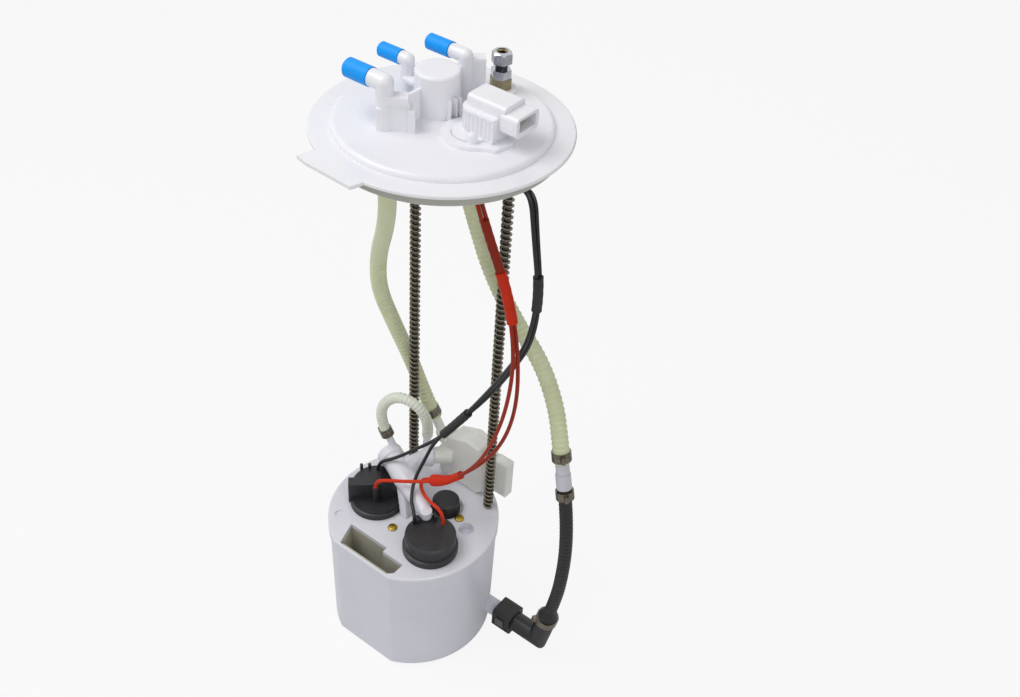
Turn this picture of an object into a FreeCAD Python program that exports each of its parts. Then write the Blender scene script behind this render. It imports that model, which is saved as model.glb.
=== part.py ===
import FreeCAD, Part
import Sketcher
import math
import os
import re
from FreeCAD import Vector

# Fuel pump module: a reservoir bucket with two electric pumps, and a tank flange
# that rides above it on two sprung guide rods. Millimetres, +Z up. The origin is
# the centre of the bucket's bottom face. The bucket's flat side faces -Y, the
# outlets point to -X and the electrical connector's mouth points to +X.

SIZES = {
    # reservoir bucket
    "bucket_radius": 63.0,
    "flat_depth": 5.5,
    "bucket_draft": 1.2,
    "bucket_top": 103.0,
    "bucket_wall": 1.8,
    "bucket_floor": 2.5,
    "corner_round": 6.0,
    "heel_chamfer": 2.0,
    "foot_height": 1.5,
    "foot_radius": 5.0,
    "foot_circle": 46.0,
    "centre_foot_radius": 12.0,
    "lip_height": 5.0,
    "lip_proud": 1.1,
    "inlet_x": 2.0,
    "inlet_y": 41.0,
    "inlet_hole": 2.2,
    "inlet_spread": 5.5,
    "valve_stem": 1.6,
    "valve_radius": 10.0,
    # return spout on the bucket's side
    "spout_y": 22.0,
    "spout_z": 24.0,
    "spout_radius": 4.7,
    "spout_bore": 3.2,
    "spout_root": 6.4,
    "spout_root_end": 67.0,
    "spout_end": 84.0,
    # bucket cover
    "cover_plate": 3.0,
    "cover_bevel": 0.7,
    "skirt_depth": 7.0,
    "skirt_wall": 1.6,
    "skirt_gap": 0.4,
    "window_left": -27.5,
    "window_right": 26.5,
    "window_back": -38.0,
    "window_step_x": 7.5,
    "window_step_back": -42.4,
    "window_rim": 1.5,
    "window_slant": 6.0,
    "well_depth": 58.0,
    "well_wall": 1.6,
    "well_clearance": 1.2,
    "vent_hole_x": 39.5,
    "vent_hole_y": 12.5,
    "vent_hole_radius": 5.8,
    "vent_cup_depth": 6.0,
    "vent_cup_wall": 1.3,
    "vent_cup_floor": 1.2,
    "pin_hole_x": -41.3,
    "pin_hole_y": -36.2,
    "pin_hole_radius": 3.3,
    "pin_hole_depth": 1.5,
    "screw_one_x": -1.9,
    "screw_one_y": -21.5,
    "screw_two_x": 29.6,
    "screw_two_y": 16.8,
    "screw_shank": 1.5,
    "screw_head": 3.5,
    "screw_head_height": 1.9,
    "screw_length": 14.0,
    "screw_clearance": 0.2,
    # the two pumps
    "front_pump_x": 31.0,
    "front_pump_y": -18.0,
    "left_pump_x": -28.5,
    "left_pump_y": -8.8,
    "can_radius": 19.0,
    "can_wall": 1.5,
    "can_bottom": 30.0,
    "can_top": 98.0,
    "can_floor": 4.0,
    "inlet_tube": 4.5,
    "inlet_tube_bore": 3.0,
    "inlet_offset": 10.0,
    "inlet_tube_drop": 8.0,
    "shaft_radius": 1.5,
    "shaft_clearance": 0.05,
    "shaft_lift": 0.4,
    "armature_radius": 12.5,
    "armature_low": 48.0,
    "armature_high": 82.0,
    "commutator_radius": 7.5,
    "commutator_height": 6.0,
    "impeller_radius": 16.6,
    "impeller_thickness": 4.0,
    "impeller_z": 36.0,
    "impeller_blades": 12,
    "blade_depth": 3.0,
    "cap_ring_radius": 20.0,
    "cap_ring_height": 4.5,
    "cap_radius": 18.4,
    "cap_height": 16.0,
    "cap_round": 1.6,
    "spigot_radius": 17.2,
    "spigot_gap": 0.3,
    "tall_cap_height": 20.0,
    "left_cap_low": 6.0,
    "left_cap_turn": 42.0,
    "left_cap_wall": 3.0,
    "strainer_length": 36.0,
    "strainer_width": 22.0,
    "strainer_thickness": 7.0,
    "strainer_round": 3.0,
    # carrier that holds both pumps inside the bucket
    "carrier_low": 31.5,
    "carrier_thickness": 6.0,
    "carrier_wall": 2.4,
    "isolator_wall": 1.6,
    "post_radius": 3.4,
    "leg_radius": 3.0,
    # finger of the manifold and the guard round it on the front cap
    "finger_x": 19.0,
    "finger_y": -9.0,
    "finger_half": 4.6,
    "finger_gap": 0.6,
    "finger_height": 7.4,
    "finger_tip": 3.4,
    "guard_gap": 0.5,
    "guard_wall": 2.2,
    "guard_inner": 10.0,
    "guard_outer": 15.0,
    "guard_height": 4.0,
    # relief valve with the small black cap
    "relief_x": 14.6,
    "relief_y": 19.2,
    "relief_radius": 10.0,
    "relief_ring": 10.9,
    "relief_height": 9.5,
    "relief_spigot": 8.6,
    "relief_recess": 12.2,
    "recess_depth": 1.6,
    # manifold between the pumps and the filter housing
    "manifold_z": 130.0,
    "manifold_radius": 6.4,
    "manifold_collar": 8.5,
    "collar_length": 6.5,
    "nipple_radius": 2.8,
    # filter housing on the back of the cover
    "filter_x": 8.0,
    "filter_y": 43.5,
    "filter_z": 129.0,
    "filter_radius": 21.0,
    "filter_depth": 17.0,
    "filter_rim": 1.4,
    "lug_x": 37.5,
    "lug_y": 57.0,
    "lug_top": 143.0,
    "lug_half": 6.5,
    "lug_round": 3.0,
    # guide rods, springs and bushes
    "left_rod_x": -29.7,
    "left_rod_y": 34.0,
    "right_rod_x": 38.0,
    "right_rod_y": 40.4,
    "rod_radius": 2.2,
    "rod_clearance": 0.06,
    "rod_low": 86.0,
    "rod_press": 12.0,
    "bush_radius": 3.9,
    "bush_drop": 8.0,
    "clip_radius": 3.6,
    "clip_thickness": 1.2,
    "clip_gap": 0.3,
    "spring_radius": 3.8,
    "spring_wire": 1.2,
    "spring_turns": 96,
    # tank flange
    "flange_x": 11.2,
    "flange_y": 9.6,
    "flange_radius": 75.4,
    "flange_rim_z": 431.0,
    "flange_rim": 2.0,
    "flange_skirt_radius": 69.0,
    "skirt_drop": 10.0,
    "flange_skirt_wall": 2.4,
    "plateau_radius": 63.0,
    "plateau_rise": 3.5,
    "plateau_round": 2.6,
    "tab_reach": 83.0,
    "socket_radius": 6.5,
    "socket_drop": 19.0,
    "turret_x": 2.7,
    "turret_y": 14.3,
    "turret_radius": 13.1,
    "turret_rise": 29.0,
    "turret_wall": 2.0,
    "barb_radius": 3.4,
    "barb_drop": 22.0,
    "outlet_tip": 14.0,
    "cap_tube_gap": 0.05,
    "cap_seat": 0.3,
    "front_outlet_x": -5.5,
    "front_outlet_y": -20.0,
    "front_outlet_rise": 30.0,
    "front_outlet_radius": 4.0,
    "front_outlet_bore": 2.6,
    "front_root_radius": 5.2,
    "front_root_length": 9.3,
    "front_cap_radius": 5.65,
    "front_cap_length": 17.5,
    "middle_outlet_x": -17.0,
    "middle_outlet_y": 12.0,
    "middle_outlet_rise": 28.0,
    "middle_outlet_radius": 3.0,
    "middle_outlet_bore": 1.8,
    "middle_root_radius": 3.9,
    "middle_root_length": 4.7,
    "middle_cap_radius": 4.4,
    "middle_cap_length": 15.4,
    "rear_outlet_x": 3.0,
    "rear_outlet_y": 38.5,
    "rear_outlet_rise": 28.0,
    "rear_outlet_radius": 3.2,
    "rear_outlet_bore": 2.0,
    "rear_root_radius": 4.2,
    "rear_root_length": 10.0,
    "rear_cap_radius": 4.8,
    "rear_cap_length": 17.0,
    # electrical connector
    "connector_x": 35.2,
    "connector_y": 5.5,
    "connector_hole": 11.8,
    "connector_ring": 17.4,
    "connector_ring_rise": 2.2,
    "connector_column": 10.0,
    "connector_base": 16.0,
    "base_thickness": 5.0,
    "seal_inner": 13.0,
    "seal_outer": 14.4,
    "seal_height": 1.2,
    "hood_left": 30.5,
    "hood_right": 56.0,
    "hood_front": 6.0,
    "hood_back": 24.0,
    "hood_rise": 13.5,
    "hood_height": 13.5,
    "nose_right": 65.0,
    "nose_front": 5.0,
    "nose_back": 25.0,
    "nose_rise": 12.0,
    "nose_height": 12.0,
    "shroud_wall": 1.8,
    "shroud_socket": 17.0,
    "socket_rise": 15.2,
    "socket_height": 7.0,
    "blade_length": 13.0,
    "blade_width": 2.0,
    "blade_thickness": 0.8,
    # metal vent fitting
    "fitting_x": 14.5,
    "fitting_y": 57.5,
    "fitting_hex": 6.6,
    "fitting_head_hex": 6.3,
    "fitting_bore": 2.6,
    # hoses, wires and clamps
    "left_hose_radius": 5.3,
    "right_hose_radius": 5.8,
    "black_hose_radius": 4.6,
    "black_cuff_radius": 5.4,
    "black_cuff_length": 9.0,
    "low_cuff_radius": 7.4,
    "low_cuff_length": 9.0,
    "low_cuff_taper": 8.0,
    "loop_hose_radius": 4.0,
    "wire_radius": 1.05,
    "sleeve_radius": 3.5,
    "sleeve_bore": 2.8,
    "clamp_thickness": 0.9,
    "clamp_width": 6.5,
    "clamp_ear": 4.0,
    "clamp_gap": 0.05,
    "coupler_high_radius": 4.7,
    "coupler_low_radius": 5.3,
    "elbow_radius": 7.6,
    "latch_length": 16.0,
    "latch_half": 9.0,
    "button_size": 7.0,
    "button_depth": 3.0,
    "button_travel": 1.5,
    "button_proud": 1.0,
    "button_gap": 0.3,
}

# Routes of the hoses and wires, as corner points chosen by hand.
LEFT_HOSE = [
    (-5.5, -20.0, 409.0),
    (-5.5, -20.0, 390.0),
    (-20.0, -9.5, 357.0),
    (-36.0, 3.0, 320.0),
    (-46.5, 15.5, 280.0),
    (-50.0, 30.0, 238.0),
    (-44.0, 42.5, 200.0),
    (-33.5, 48.5, 172.0),
    (-24.5, 52.0, 152.0),
]
RIGHT_HOSE = [
    (3.0, 38.5, 409.0),
    (3.0, 38.5, 387.0),
    (8.0, 47.5, 347.0),
    (20.5, 52.5, 305.0),
    (43.0, 52.5, 277.0),
    (70.0, 45.0, 263.0),
    (88.5, 37.5, 243.0),
    (98.3, 31.6, 223.0),
    (103.5, 29.2, 206.0),
]
BLACK_HOSE = [
    (109.3, 26.5, 187.0),
    (114.0, 24.6, 171.0),
    (118.5, 23.2, 140.0),
    (119.5, 22.0, 112.0),
    (117.0, 22.0, 78.0),
    (110.5, 22.0, 46.0),
]
LOOP_HOSE = [
    (-39.6, 16.6, 147.5),
    (-45.5, 14.5, 162.0),
    (-43.5, 15.5, 179.5),
    (-31.0, 19.0, 191.5),
    (-16.0, 23.5, 187.0),
    (-10.0, 27.5, 171.0),
    (-14.5, 31.5, 153.5),
]
RED_TRUNK = [
    (38.5, 4.0, 424.0),
    (38.5, 4.0, 410.0),
    (44.5, 4.4, 384.0),
    (65.0, 6.8, 336.0),
    (75.0, 6.5, 295.0),
    (77.5, 5.0, 257.0),
    (71.0, 3.5, 222.0),
    (55.0, 2.2, 189.0),
    (31.0, 1.6, 160.0),
    (14.5, 1.0, 149.6),
]
RED_TO_LEFT = [
    (-4.0, -5.5, 142.5),
    (-19.5, -11.3, 139.5),
    (-25.4, -13.6, 133.5),
    (-25.4, -13.6, 126.0),
]
RED_TO_FRONT = [
    (5.7, 0.8, 145.0),
    (7.2, -0.5, 134.6),
    (17.8, -3.5, 132.8),
    (27.0, -5.2, 134.5),
    (32.5, -5.9, 129.3),
    (32.5, -5.9, 122.0),
]
BLACK_TRUNK = [
    (37.5, 9.5, 424.0),
    (37.5, 9.5, 414.0),
    (46.0, 11.0, 408.0),
    (60.0, 13.0, 409.0),
    (70.0, 14.0, 402.0),
    (77.5, 14.0, 380.0),
    (83.2, 14.5, 345.0),
    (82.0, 15.0, 310.0),
    (71.5, 17.0, 284.0),
    (47.0, 18.0, 238.5),
    (22.5, 16.5, 198.0),
    (7.0, 14.5, 174.0),
]
BLACK_TO_LEFT = [
    (-9.0, 10.5, 158.0),
    (-24.0, 6.0, 148.0),
    (-36.0, 0.8, 136.0),
    (-36.0, 0.8, 126.0),
]
BLACK_TO_FRONT = [
    (3.2, 7.5, 157.5),
    (0.8, -1.0, 142.5),
    (6.0, -10.5, 132.5),
    (12.0, -15.2, 133.2),
    (16.4, -18.6, 128.8),
    (16.4, -18.6, 122.0),
]
# half of the way between the two wires of a pair
PAIR_STEP = Vector(0, 1.25, 0)

doc = FreeCAD.newDocument("fuel_pump_module")
sheet = doc.addObject("Spreadsheet::Sheet", "Sizes")
for row, (alias, number) in enumerate(SIZES.items(), start=1):
    sheet.set("A%d" % row, alias)
    sheet.set("B%d" % row, str(number))
    sheet.setAlias("B%d" % row, alias)
doc.recompute()

parts = {}


def size(alias):
    return float(sheet.get(alias))


def bound(text):
    """Turn a sum of size names into an expression on the sheet."""
    return re.sub(r"([a-z][a-z_]*)", r"Sizes.\1", text)


def new_body(label):
    body = doc.addObject("PartDesign::Body", label)
    body.Label = label
    parts[label] = body
    return body


def place(body, x_text, y_text):
    body.setExpression("Placement.Base.x", bound(x_text))
    body.setExpression("Placement.Base.y", bound(y_text))


def origin_plane(body, role):
    for feature in body.Origin.OriginFeatures:
        if feature.Role == role:
            return feature
    raise RuntimeError("no plane " + role)


def new_sketch(body, level="0", role="XY_Plane"):
    """A sketch on one of the body's own planes, moved along its normal."""
    sketch = body.newObject("Sketcher::SketchObject", "Sketch")
    sketch.AttachmentSupport = [(origin_plane(body, role), "")]
    sketch.MapMode = "FlatFace"
    sketch.setExpression("AttachmentOffset.Base.z", bound(level))
    return sketch


def turn_sketch(sketch, degrees):
    """Turn a level sketch about its own normal."""
    sketch.AttachmentOffset = FreeCAD.Placement(sketch.AttachmentOffset.Base,
                                                FreeCAD.Rotation(Vector(0, 0, 1), degrees))


def fix_point(sketch, geometry, position, x_text, y_text):
    number = sketch.addConstraint(Sketcher.Constraint("DistanceX", -1, 1, geometry, position, 1.0))
    sketch.setExpression("Constraints[%d]" % number, bound(x_text))
    number = sketch.addConstraint(Sketcher.Constraint("DistanceY", -1, 1, geometry, position, 1.0))
    sketch.setExpression("Constraints[%d]" % number, bound(y_text))


def polygon(sketch, corners):
    """A closed outline whose corners are pairs of sums of size names."""
    count = len(corners)
    first = sketch.GeometryCount
    start = [Vector(math.cos(6.28 * i / count), math.sin(6.28 * i / count), 0) for i in range(count)]
    for i in range(count):
        sketch.addGeometry(Part.LineSegment(start[i], start[(i + 1) % count]), False)
    for i in range(count):
        after = first + (i + 1) % count
        sketch.addConstraint(Sketcher.Constraint("Coincident", first + i, 2, after, 1))
    for i, (x_text, y_text) in enumerate(corners):
        fix_point(sketch, first + i, 1, x_text, y_text)


def circle(sketch, x_text, y_text, radius_text):
    index = sketch.addGeometry(Part.Circle(Vector(0, 0, 0), Vector(0, 0, 1), 1.0), False)
    fix_point(sketch, index, 3, x_text, y_text)
    number = sketch.addConstraint(Sketcher.Constraint("Radius", index, 1.0))
    sketch.setExpression("Constraints[%d]" % number, bound(radius_text))


def bucket_outline(sketch, radius_text, flat_text, round_text, radius, flat, corner):
    """A circle with one flat side and rounded corners between the two."""
    reach = math.sqrt((radius - corner) ** 2 - (flat - corner) ** 2)
    turn = math.atan2(-(flat - corner), reach)
    axis = Vector(0, 0, 1)
    main = sketch.addGeometry(Part.ArcOfCircle(Part.Circle(Vector(0, 0, 0), axis, radius),
                                               turn, math.pi - turn), False)
    left = sketch.addGeometry(Part.ArcOfCircle(
        Part.Circle(Vector(-reach, -(flat - corner), 0), axis, corner),
        math.pi - turn, 1.5 * math.pi), False)
    line = sketch.addGeometry(Part.LineSegment(Vector(-reach, -flat, 0),
                                               Vector(reach, -flat, 0)), False)
    right = sketch.addGeometry(Part.ArcOfCircle(
        Part.Circle(Vector(reach, -(flat - corner), 0), axis, corner),
        -0.5 * math.pi, turn), False)
    sketch.addConstraint(Sketcher.Constraint("Coincident", main, 3, -1, 1))
    sketch.addConstraint(Sketcher.Constraint("Tangent", main, 2, left, 1))
    sketch.addConstraint(Sketcher.Constraint("Tangent", left, 2, line, 1))
    sketch.addConstraint(Sketcher.Constraint("Tangent", line, 2, right, 1))
    sketch.addConstraint(Sketcher.Constraint("Tangent", right, 2, main, 1))
    sketch.addConstraint(Sketcher.Constraint("Horizontal", line))
    for geometry, text in ((main, radius_text), (left, round_text), (right, round_text)):
        value = radius if geometry == main else corner
        number = sketch.addConstraint(Sketcher.Constraint("Radius", geometry, value))
        sketch.setExpression("Constraints[%d]" % number, bound(text))
    number = sketch.addConstraint(Sketcher.Constraint("DistanceY", line, 1, -1, 1, flat))
    sketch.setExpression("Constraints[%d]" % number, bound(flat_text))


def pad(body, sketch, length):
    feature = body.newObject("PartDesign::Pad", "Pad")
    feature.Profile = sketch
    feature.setExpression("Length", bound(length))
    return feature


def pocket(body, sketch, length, upward=True):
    """Cut along the sketch's normal, or against it."""
    feature = body.newObject("PartDesign::Pocket", "Pocket")
    feature.Profile = sketch
    feature.Reversed = upward
    feature.setExpression("Length", bound(length))
    return feature


def revolve(body, sketch):
    feature = body.newObject("PartDesign::Revolution", "Revolution")
    feature.Profile = sketch
    feature.ReferenceAxis = (sketch, ["V_Axis"])
    feature.Angle = 360.0
    return feature


def groove(body, sketch):
    feature = body.newObject("PartDesign::Groove", "Groove")
    feature.Profile = sketch
    feature.ReferenceAxis = (sketch, ["V_Axis"])
    feature.Angle = 360.0
    return feature


def loft(body, kind, low, high):
    feature = body.newObject(kind, "Loft")
    feature.Profile = low
    feature.Sections = [high]
    feature.Ruled = True
    return feature


def round_edges(body, base, chosen, radius):
    """Round the edges of a feature that a test picks out."""
    doc.recompute()
    names = ["Edge%d" % (i + 1) for i, edge in enumerate(base.Shape.Edges) if chosen(edge)]
    feature = body.newObject("PartDesign::Fillet", "Fillet")
    feature.Base = (base, names)
    feature.setExpression("Radius", bound(radius))
    return feature


def bevel_edges(body, base, chosen, width):
    """Bevel the edges of a feature that a test picks out."""
    doc.recompute()
    names = ["Edge%d" % (i + 1) for i, edge in enumerate(base.Shape.Edges) if chosen(edge)]
    feature = body.newObject("PartDesign::Chamfer", "Chamfer")
    feature.Base = (base, names)
    feature.setExpression("Size", bound(width))
    return feature


def at_level(edge, z, tolerance=0.01):
    box = edge.BoundBox
    return abs(box.ZMin - z) < tolerance and abs(box.ZMax - z) < tolerance


def turned(label, corners):
    """A body of revolution about its own Z axis, from a half section."""
    body = new_body(label)
    sketch = new_sketch(body, "0", "XZ_Plane")
    polygon(sketch, corners)
    revolve(body, sketch)
    return body


def plain(label, shape):
    """A piece whose shape is worked out below from the sheet's sizes."""
    feature = doc.addObject("Part::Feature", label)
    feature.Label = label
    feature.Shape = shape
    feature.Placement = FreeCAD.Placement()
    parts[label] = feature
    return feature


def rod(x, y, low, high, radius):
    return Part.makeCylinder(radius, high - low, Vector(x, y, low))


def bar(start, end, radius):
    start = Vector(*start)
    way = Vector(*end) - start
    return Part.makeCylinder(radius, way.Length, start, way)


def stub(before, end, length, radius):
    """A straight nipple that carries on from the end of a hose."""
    end = Vector(*end)
    way = (end - Vector(*before)).normalize()
    return Part.makeCylinder(radius, length, end, way)


def slanted_box(centre, along, half_low, half_high, half_depth, low, high):
    """An upright box along a level direction, narrower at its top."""
    along = Vector(along[0], along[1], 0).normalize()
    across = Vector(-along.y, along.x, 0) * half_depth
    rings = []
    for half, z in ((half_low, low), (half_high, high)):
        middle = Vector(centre[0], centre[1], z)
        rings.append(Part.makePolygon([
            middle - along * half - across, middle + along * half - across,
            middle + along * half + across, middle - along * half + across,
            middle - along * half - across]))
    return Part.makeLoft(rings, True, True)


def block(low, high):
    low = Vector(*low)
    way = Vector(*high) - low
    return Part.makeBox(way.x, way.y, way.z, low)


def fuse(shapes):
    whole = shapes[0].multiFuse(shapes[1:])
    return whole.removeSplitter()


def route_wire(points, name):
    """Straight runs joined by tangent arcs, as large as the runs allow."""
    corners = [Vector(*p) for p in points]
    edges = []
    radii = []
    last = corners[0]
    for before, corner, after in zip(corners, corners[1:], corners[2:]):
        back = (before - corner).normalize()
        ahead = (after - corner).normalize()
        turn = math.pi - back.getAngle(ahead)
        run = min((before - corner).Length, (after - corner).Length)
        reach = 0.45 * run
        radii.append(reach / math.tan(turn / 2))
        start = corner + back * reach
        end = corner + ahead * reach
        middle = (back + ahead).normalize()
        depth = radii[-1] / math.cos(turn / 2) - radii[-1]
        edges.append(Part.LineSegment(last, start).toShape())
        edges.append(Part.Arc(start, corner + middle * depth, end).toShape())
        last = end
    edges.append(Part.LineSegment(last, corners[-1]).toShape())
    wire = Part.Wire(edges)
    print("route", name, "length %.0f" % wire.Length, "radii", [round(r) for r in radii])
    return wire


def tube(points, radius, name):
    """A round cord along a route, with its volume checked."""
    wire = route_wire(points, name)
    start = Vector(*points[0])
    way = Vector(*points[1]) - start
    ring = Part.Wire([Part.Circle(start, way, radius).toShape()])
    solid = wire.makePipeShell([ring], True, False)
    expected = math.pi * radius ** 2 * wire.Length
    if abs(solid.Volume / expected - 1) > 0.02:
        raise RuntimeError("tube volume is off: " + name)
    return solid


def moved(points, step):
    return [tuple(Vector(*p) + step) for p in points]


# The bucket

def make_bucket():
    body = new_body("bucket")
    top = "bucket_radius - lip_proud"
    flat = "bucket_radius - flat_depth - lip_proud"
    wide = size("bucket_radius") - size("lip_proud")
    deep = size("bucket_radius") - size("flat_depth") - size("lip_proud")
    corner = size("corner_round")
    draft = size("bucket_draft")
    wall = size("bucket_wall")
    heel = size("heel_chamfer")
    base = new_sketch(body, "foot_height")
    bucket_outline(base, top + " - bucket_draft - heel_chamfer", flat + " - bucket_draft - heel_chamfer",
                   "corner_round", wide - draft - heel, deep - draft - heel, corner)
    low = new_sketch(body, "foot_height + heel_chamfer")
    bucket_outline(low, top + " - bucket_draft", flat + " - bucket_draft", "corner_round",
                   wide - draft, deep - draft, corner)
    loft(body, "PartDesign::AdditiveLoft", base, low)
    high = new_sketch(body, "bucket_top")
    bucket_outline(high, top, flat, "corner_round", wide, deep, corner)
    loft(body, "PartDesign::AdditiveLoft", low, high)
    lip = new_sketch(body, "bucket_top - lip_height")
    bucket_outline(lip, "bucket_radius", "bucket_radius - flat_depth", "corner_round",
                   wide + size("lip_proud"), deep + size("lip_proud"), corner)
    pad(body, lip, "lip_height")
    low = new_sketch(body, "foot_height + bucket_floor")
    bucket_outline(low, top + " - bucket_draft - bucket_wall", flat + " - bucket_draft - bucket_wall",
                   "corner_round - bucket_wall", wide - draft - wall, deep - draft - wall,
                   corner - wall)
    high = new_sketch(body, "bucket_top")
    bucket_outline(high, top + " - bucket_wall", flat + " - bucket_wall",
                   "corner_round - bucket_wall", wide - wall, deep - wall, corner - wall)
    loft(body, "PartDesign::SubtractiveLoft", low, high)
    feet = new_sketch(body)
    circle(feet, "0", "0", "centre_foot_radius")
    circle(feet, "foot_circle", "0", "foot_radius")
    circle(feet, "0 - foot_circle * 0.5", "foot_circle * 0.866", "foot_radius")
    circle(feet, "0 - foot_circle * 0.5", "0 - foot_circle * 0.866", "foot_radius")
    pad(body, feet, "foot_height + bucket_floor * 0.5")
    root = new_sketch(body, "bucket_radius - bucket_draft - 9", "YZ_Plane")
    circle(root, "spout_y", "spout_z", "spout_root")
    pad(body, root, "spout_root_end - bucket_radius + bucket_draft + 9")
    pipe = new_sketch(body, "spout_root_end", "YZ_Plane")
    circle(pipe, "spout_y", "spout_z", "spout_radius")
    pad(body, pipe, "spout_end - spout_root_end")
    bore = new_sketch(body, "bucket_radius - bucket_draft - 12", "YZ_Plane")
    circle(bore, "spout_y", "spout_z", "spout_bore")
    pocket(body, bore, "spout_end - bucket_radius + bucket_draft + 14")
    holes = new_sketch(body)
    circle(holes, "inlet_x", "inlet_y", "valve_stem")
    circle(holes, "inlet_x + inlet_spread", "inlet_y", "inlet_hole")
    circle(holes, "inlet_x - inlet_spread", "inlet_y", "inlet_hole")
    circle(holes, "inlet_x", "inlet_y + inlet_spread", "inlet_hole")
    circle(holes, "inlet_x", "inlet_y - inlet_spread", "inlet_hole")
    pocket(body, holes, "foot_height + bucket_floor + 2")
    return body


def make_inlet_valve():
    body = turned("inlet_valve", [
        ("0", "foot_height + 0.4"), ("valve_stem", "foot_height + 0.4"),
        ("valve_stem", "foot_height + bucket_floor"),
        ("valve_radius", "foot_height + bucket_floor"),
        ("valve_radius", "foot_height + bucket_floor + 0.6"),
        ("valve_stem", "foot_height + bucket_floor + 2.4"),
        ("0", "foot_height + bucket_floor + 2.4")])
    place(body, "inlet_x", "inlet_y")


# The cover

def make_cover():
    body = new_body("bucket_cover")
    wide = size("bucket_radius")
    deep = size("bucket_radius") - size("flat_depth")
    corner = size("corner_round")
    inner = size("lip_proud") + size("bucket_wall") + size("skirt_gap")
    wall = size("skirt_wall")
    top = size("bucket_top") + size("cover_plate")
    plate = new_sketch(body, "bucket_top")
    bucket_outline(plate, "bucket_radius", "bucket_radius - flat_depth", "corner_round", wide, deep, corner)
    slab = pad(body, plate, "cover_plate")
    bevel_edges(body, slab, lambda edge: at_level(edge, top), "cover_bevel")
    skirt = new_sketch(body, "bucket_top - skirt_depth")
    gap = " - lip_proud - bucket_wall - skirt_gap"
    bucket_outline(skirt, "bucket_radius" + gap, "bucket_radius - flat_depth" + gap, "corner_round - bucket_wall",
                   wide - inner, deep - inner, corner - size("bucket_wall"))
    bucket_outline(skirt, "bucket_radius" + gap + " - skirt_wall", "bucket_radius - flat_depth" + gap + " - skirt_wall",
                   "corner_round - bucket_wall - skirt_wall", wide - inner - wall,
                   deep - inner - wall, corner - size("bucket_wall") - wall)
    pad(body, skirt, "skirt_depth")
    bushes = new_sketch(body, "bucket_top - bush_drop")
    circle(bushes, "left_rod_x", "left_rod_y", "bush_radius")
    circle(bushes, "right_rod_x", "right_rod_y", "bush_radius")
    pad(body, bushes, "bush_drop + cover_plate")
    well = new_sketch(body, "bucket_top - well_depth")
    front = "0 - bucket_radius + flat_depth + lip_proud + bucket_draft + bucket_wall + well_clearance"
    polygon(well, [
        ("window_left - well_wall", "window_back + well_wall"),
        ("window_step_x + well_wall", "window_back + well_wall"),
        ("window_step_x + well_wall", "window_step_back + well_wall"),
        ("window_right + well_wall", "window_step_back + well_wall"),
        ("window_right + well_wall", front),
        ("window_right", front),
        ("window_right", "window_step_back"),
        ("window_step_x", "window_step_back"),
        ("window_step_x", "window_back"),
        ("window_left", "window_back"),
        ("window_left + window_slant", front),
        ("window_left + window_slant - well_wall", front)])
    pad(body, well, "well_depth")
    window_front = "0 - bucket_radius + flat_depth + window_rim"
    window = new_sketch(body, "bucket_top - 1")
    polygon(window, [
        ("window_left", "window_back"),
        ("window_left + window_slant", window_front),
        ("window_right - 4", window_front),
        ("window_right", window_front + " + 4"),
        ("window_right", "window_step_back"),
        ("window_step_x", "window_step_back"),
        ("window_step_x", "window_back")])
    pocket(body, window, "cover_plate + 2")
    holes = new_sketch(body, "bucket_top - bush_drop - 1")
    circle(holes, "front_pump_x", "front_pump_y", "spigot_radius + spigot_gap")
    circle(holes, "left_pump_x", "left_pump_y", "spigot_radius + spigot_gap")
    circle(holes, "relief_x", "relief_y", "relief_spigot + spigot_gap")
    circle(holes, "screw_one_x", "screw_one_y", "screw_shank + screw_clearance")
    circle(holes, "screw_two_x", "screw_two_y", "screw_shank + screw_clearance")
    circle(holes, "left_rod_x", "left_rod_y", "rod_radius + rod_clearance")
    circle(holes, "right_rod_x", "right_rod_y", "rod_radius + rod_clearance")
    pocket(body, holes, "bush_drop + cover_plate + 2")
    recess = new_sketch(body, "bucket_top + cover_plate - recess_depth")
    circle(recess, "relief_x + 0.8", "relief_y + 0.4", "relief_recess")
    pocket(body, recess, "recess_depth + 1")
    cup = new_sketch(body, "bucket_top + cover_plate - vent_cup_depth - vent_cup_floor")
    circle(cup, "vent_hole_x", "vent_hole_y", "vent_hole_radius + vent_cup_wall")
    pad(body, cup, "vent_cup_depth + vent_cup_floor - 1")
    hollow = new_sketch(body, "bucket_top + cover_plate - vent_cup_depth")
    circle(hollow, "vent_hole_x", "vent_hole_y", "vent_hole_radius")
    pocket(body, hollow, "vent_cup_depth + 1")
    dimple = new_sketch(body, "bucket_top + cover_plate - pin_hole_depth")
    circle(dimple, "pin_hole_x", "pin_hole_y", "pin_hole_radius")
    pocket(body, dimple, "pin_hole_depth + 1")
    return body


def make_screws():
    top = size("bucket_top") + size("cover_plate")
    head = size("screw_head")
    tall = size("screw_head_height")
    screws = []
    for name in ("screw_one", "screw_two"):
        centre = Vector(size(name + "_x"), size(name + "_y"), top)
        shank = Part.makeCylinder(size("screw_shank"), size("screw_length"),
                                  centre - Vector(0, 0, size("screw_length")))
        dome_radius = (head ** 2 + tall ** 2) / (2 * tall)
        dome = Part.makeSphere(dome_radius, centre + Vector(0, 0, tall - dome_radius))
        button = dome.common(Part.makeCylinder(head, tall, centre))
        screws.append(fuse([shank, button]))
    plain("cover_screws", Part.makeCompound(screws))


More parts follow.
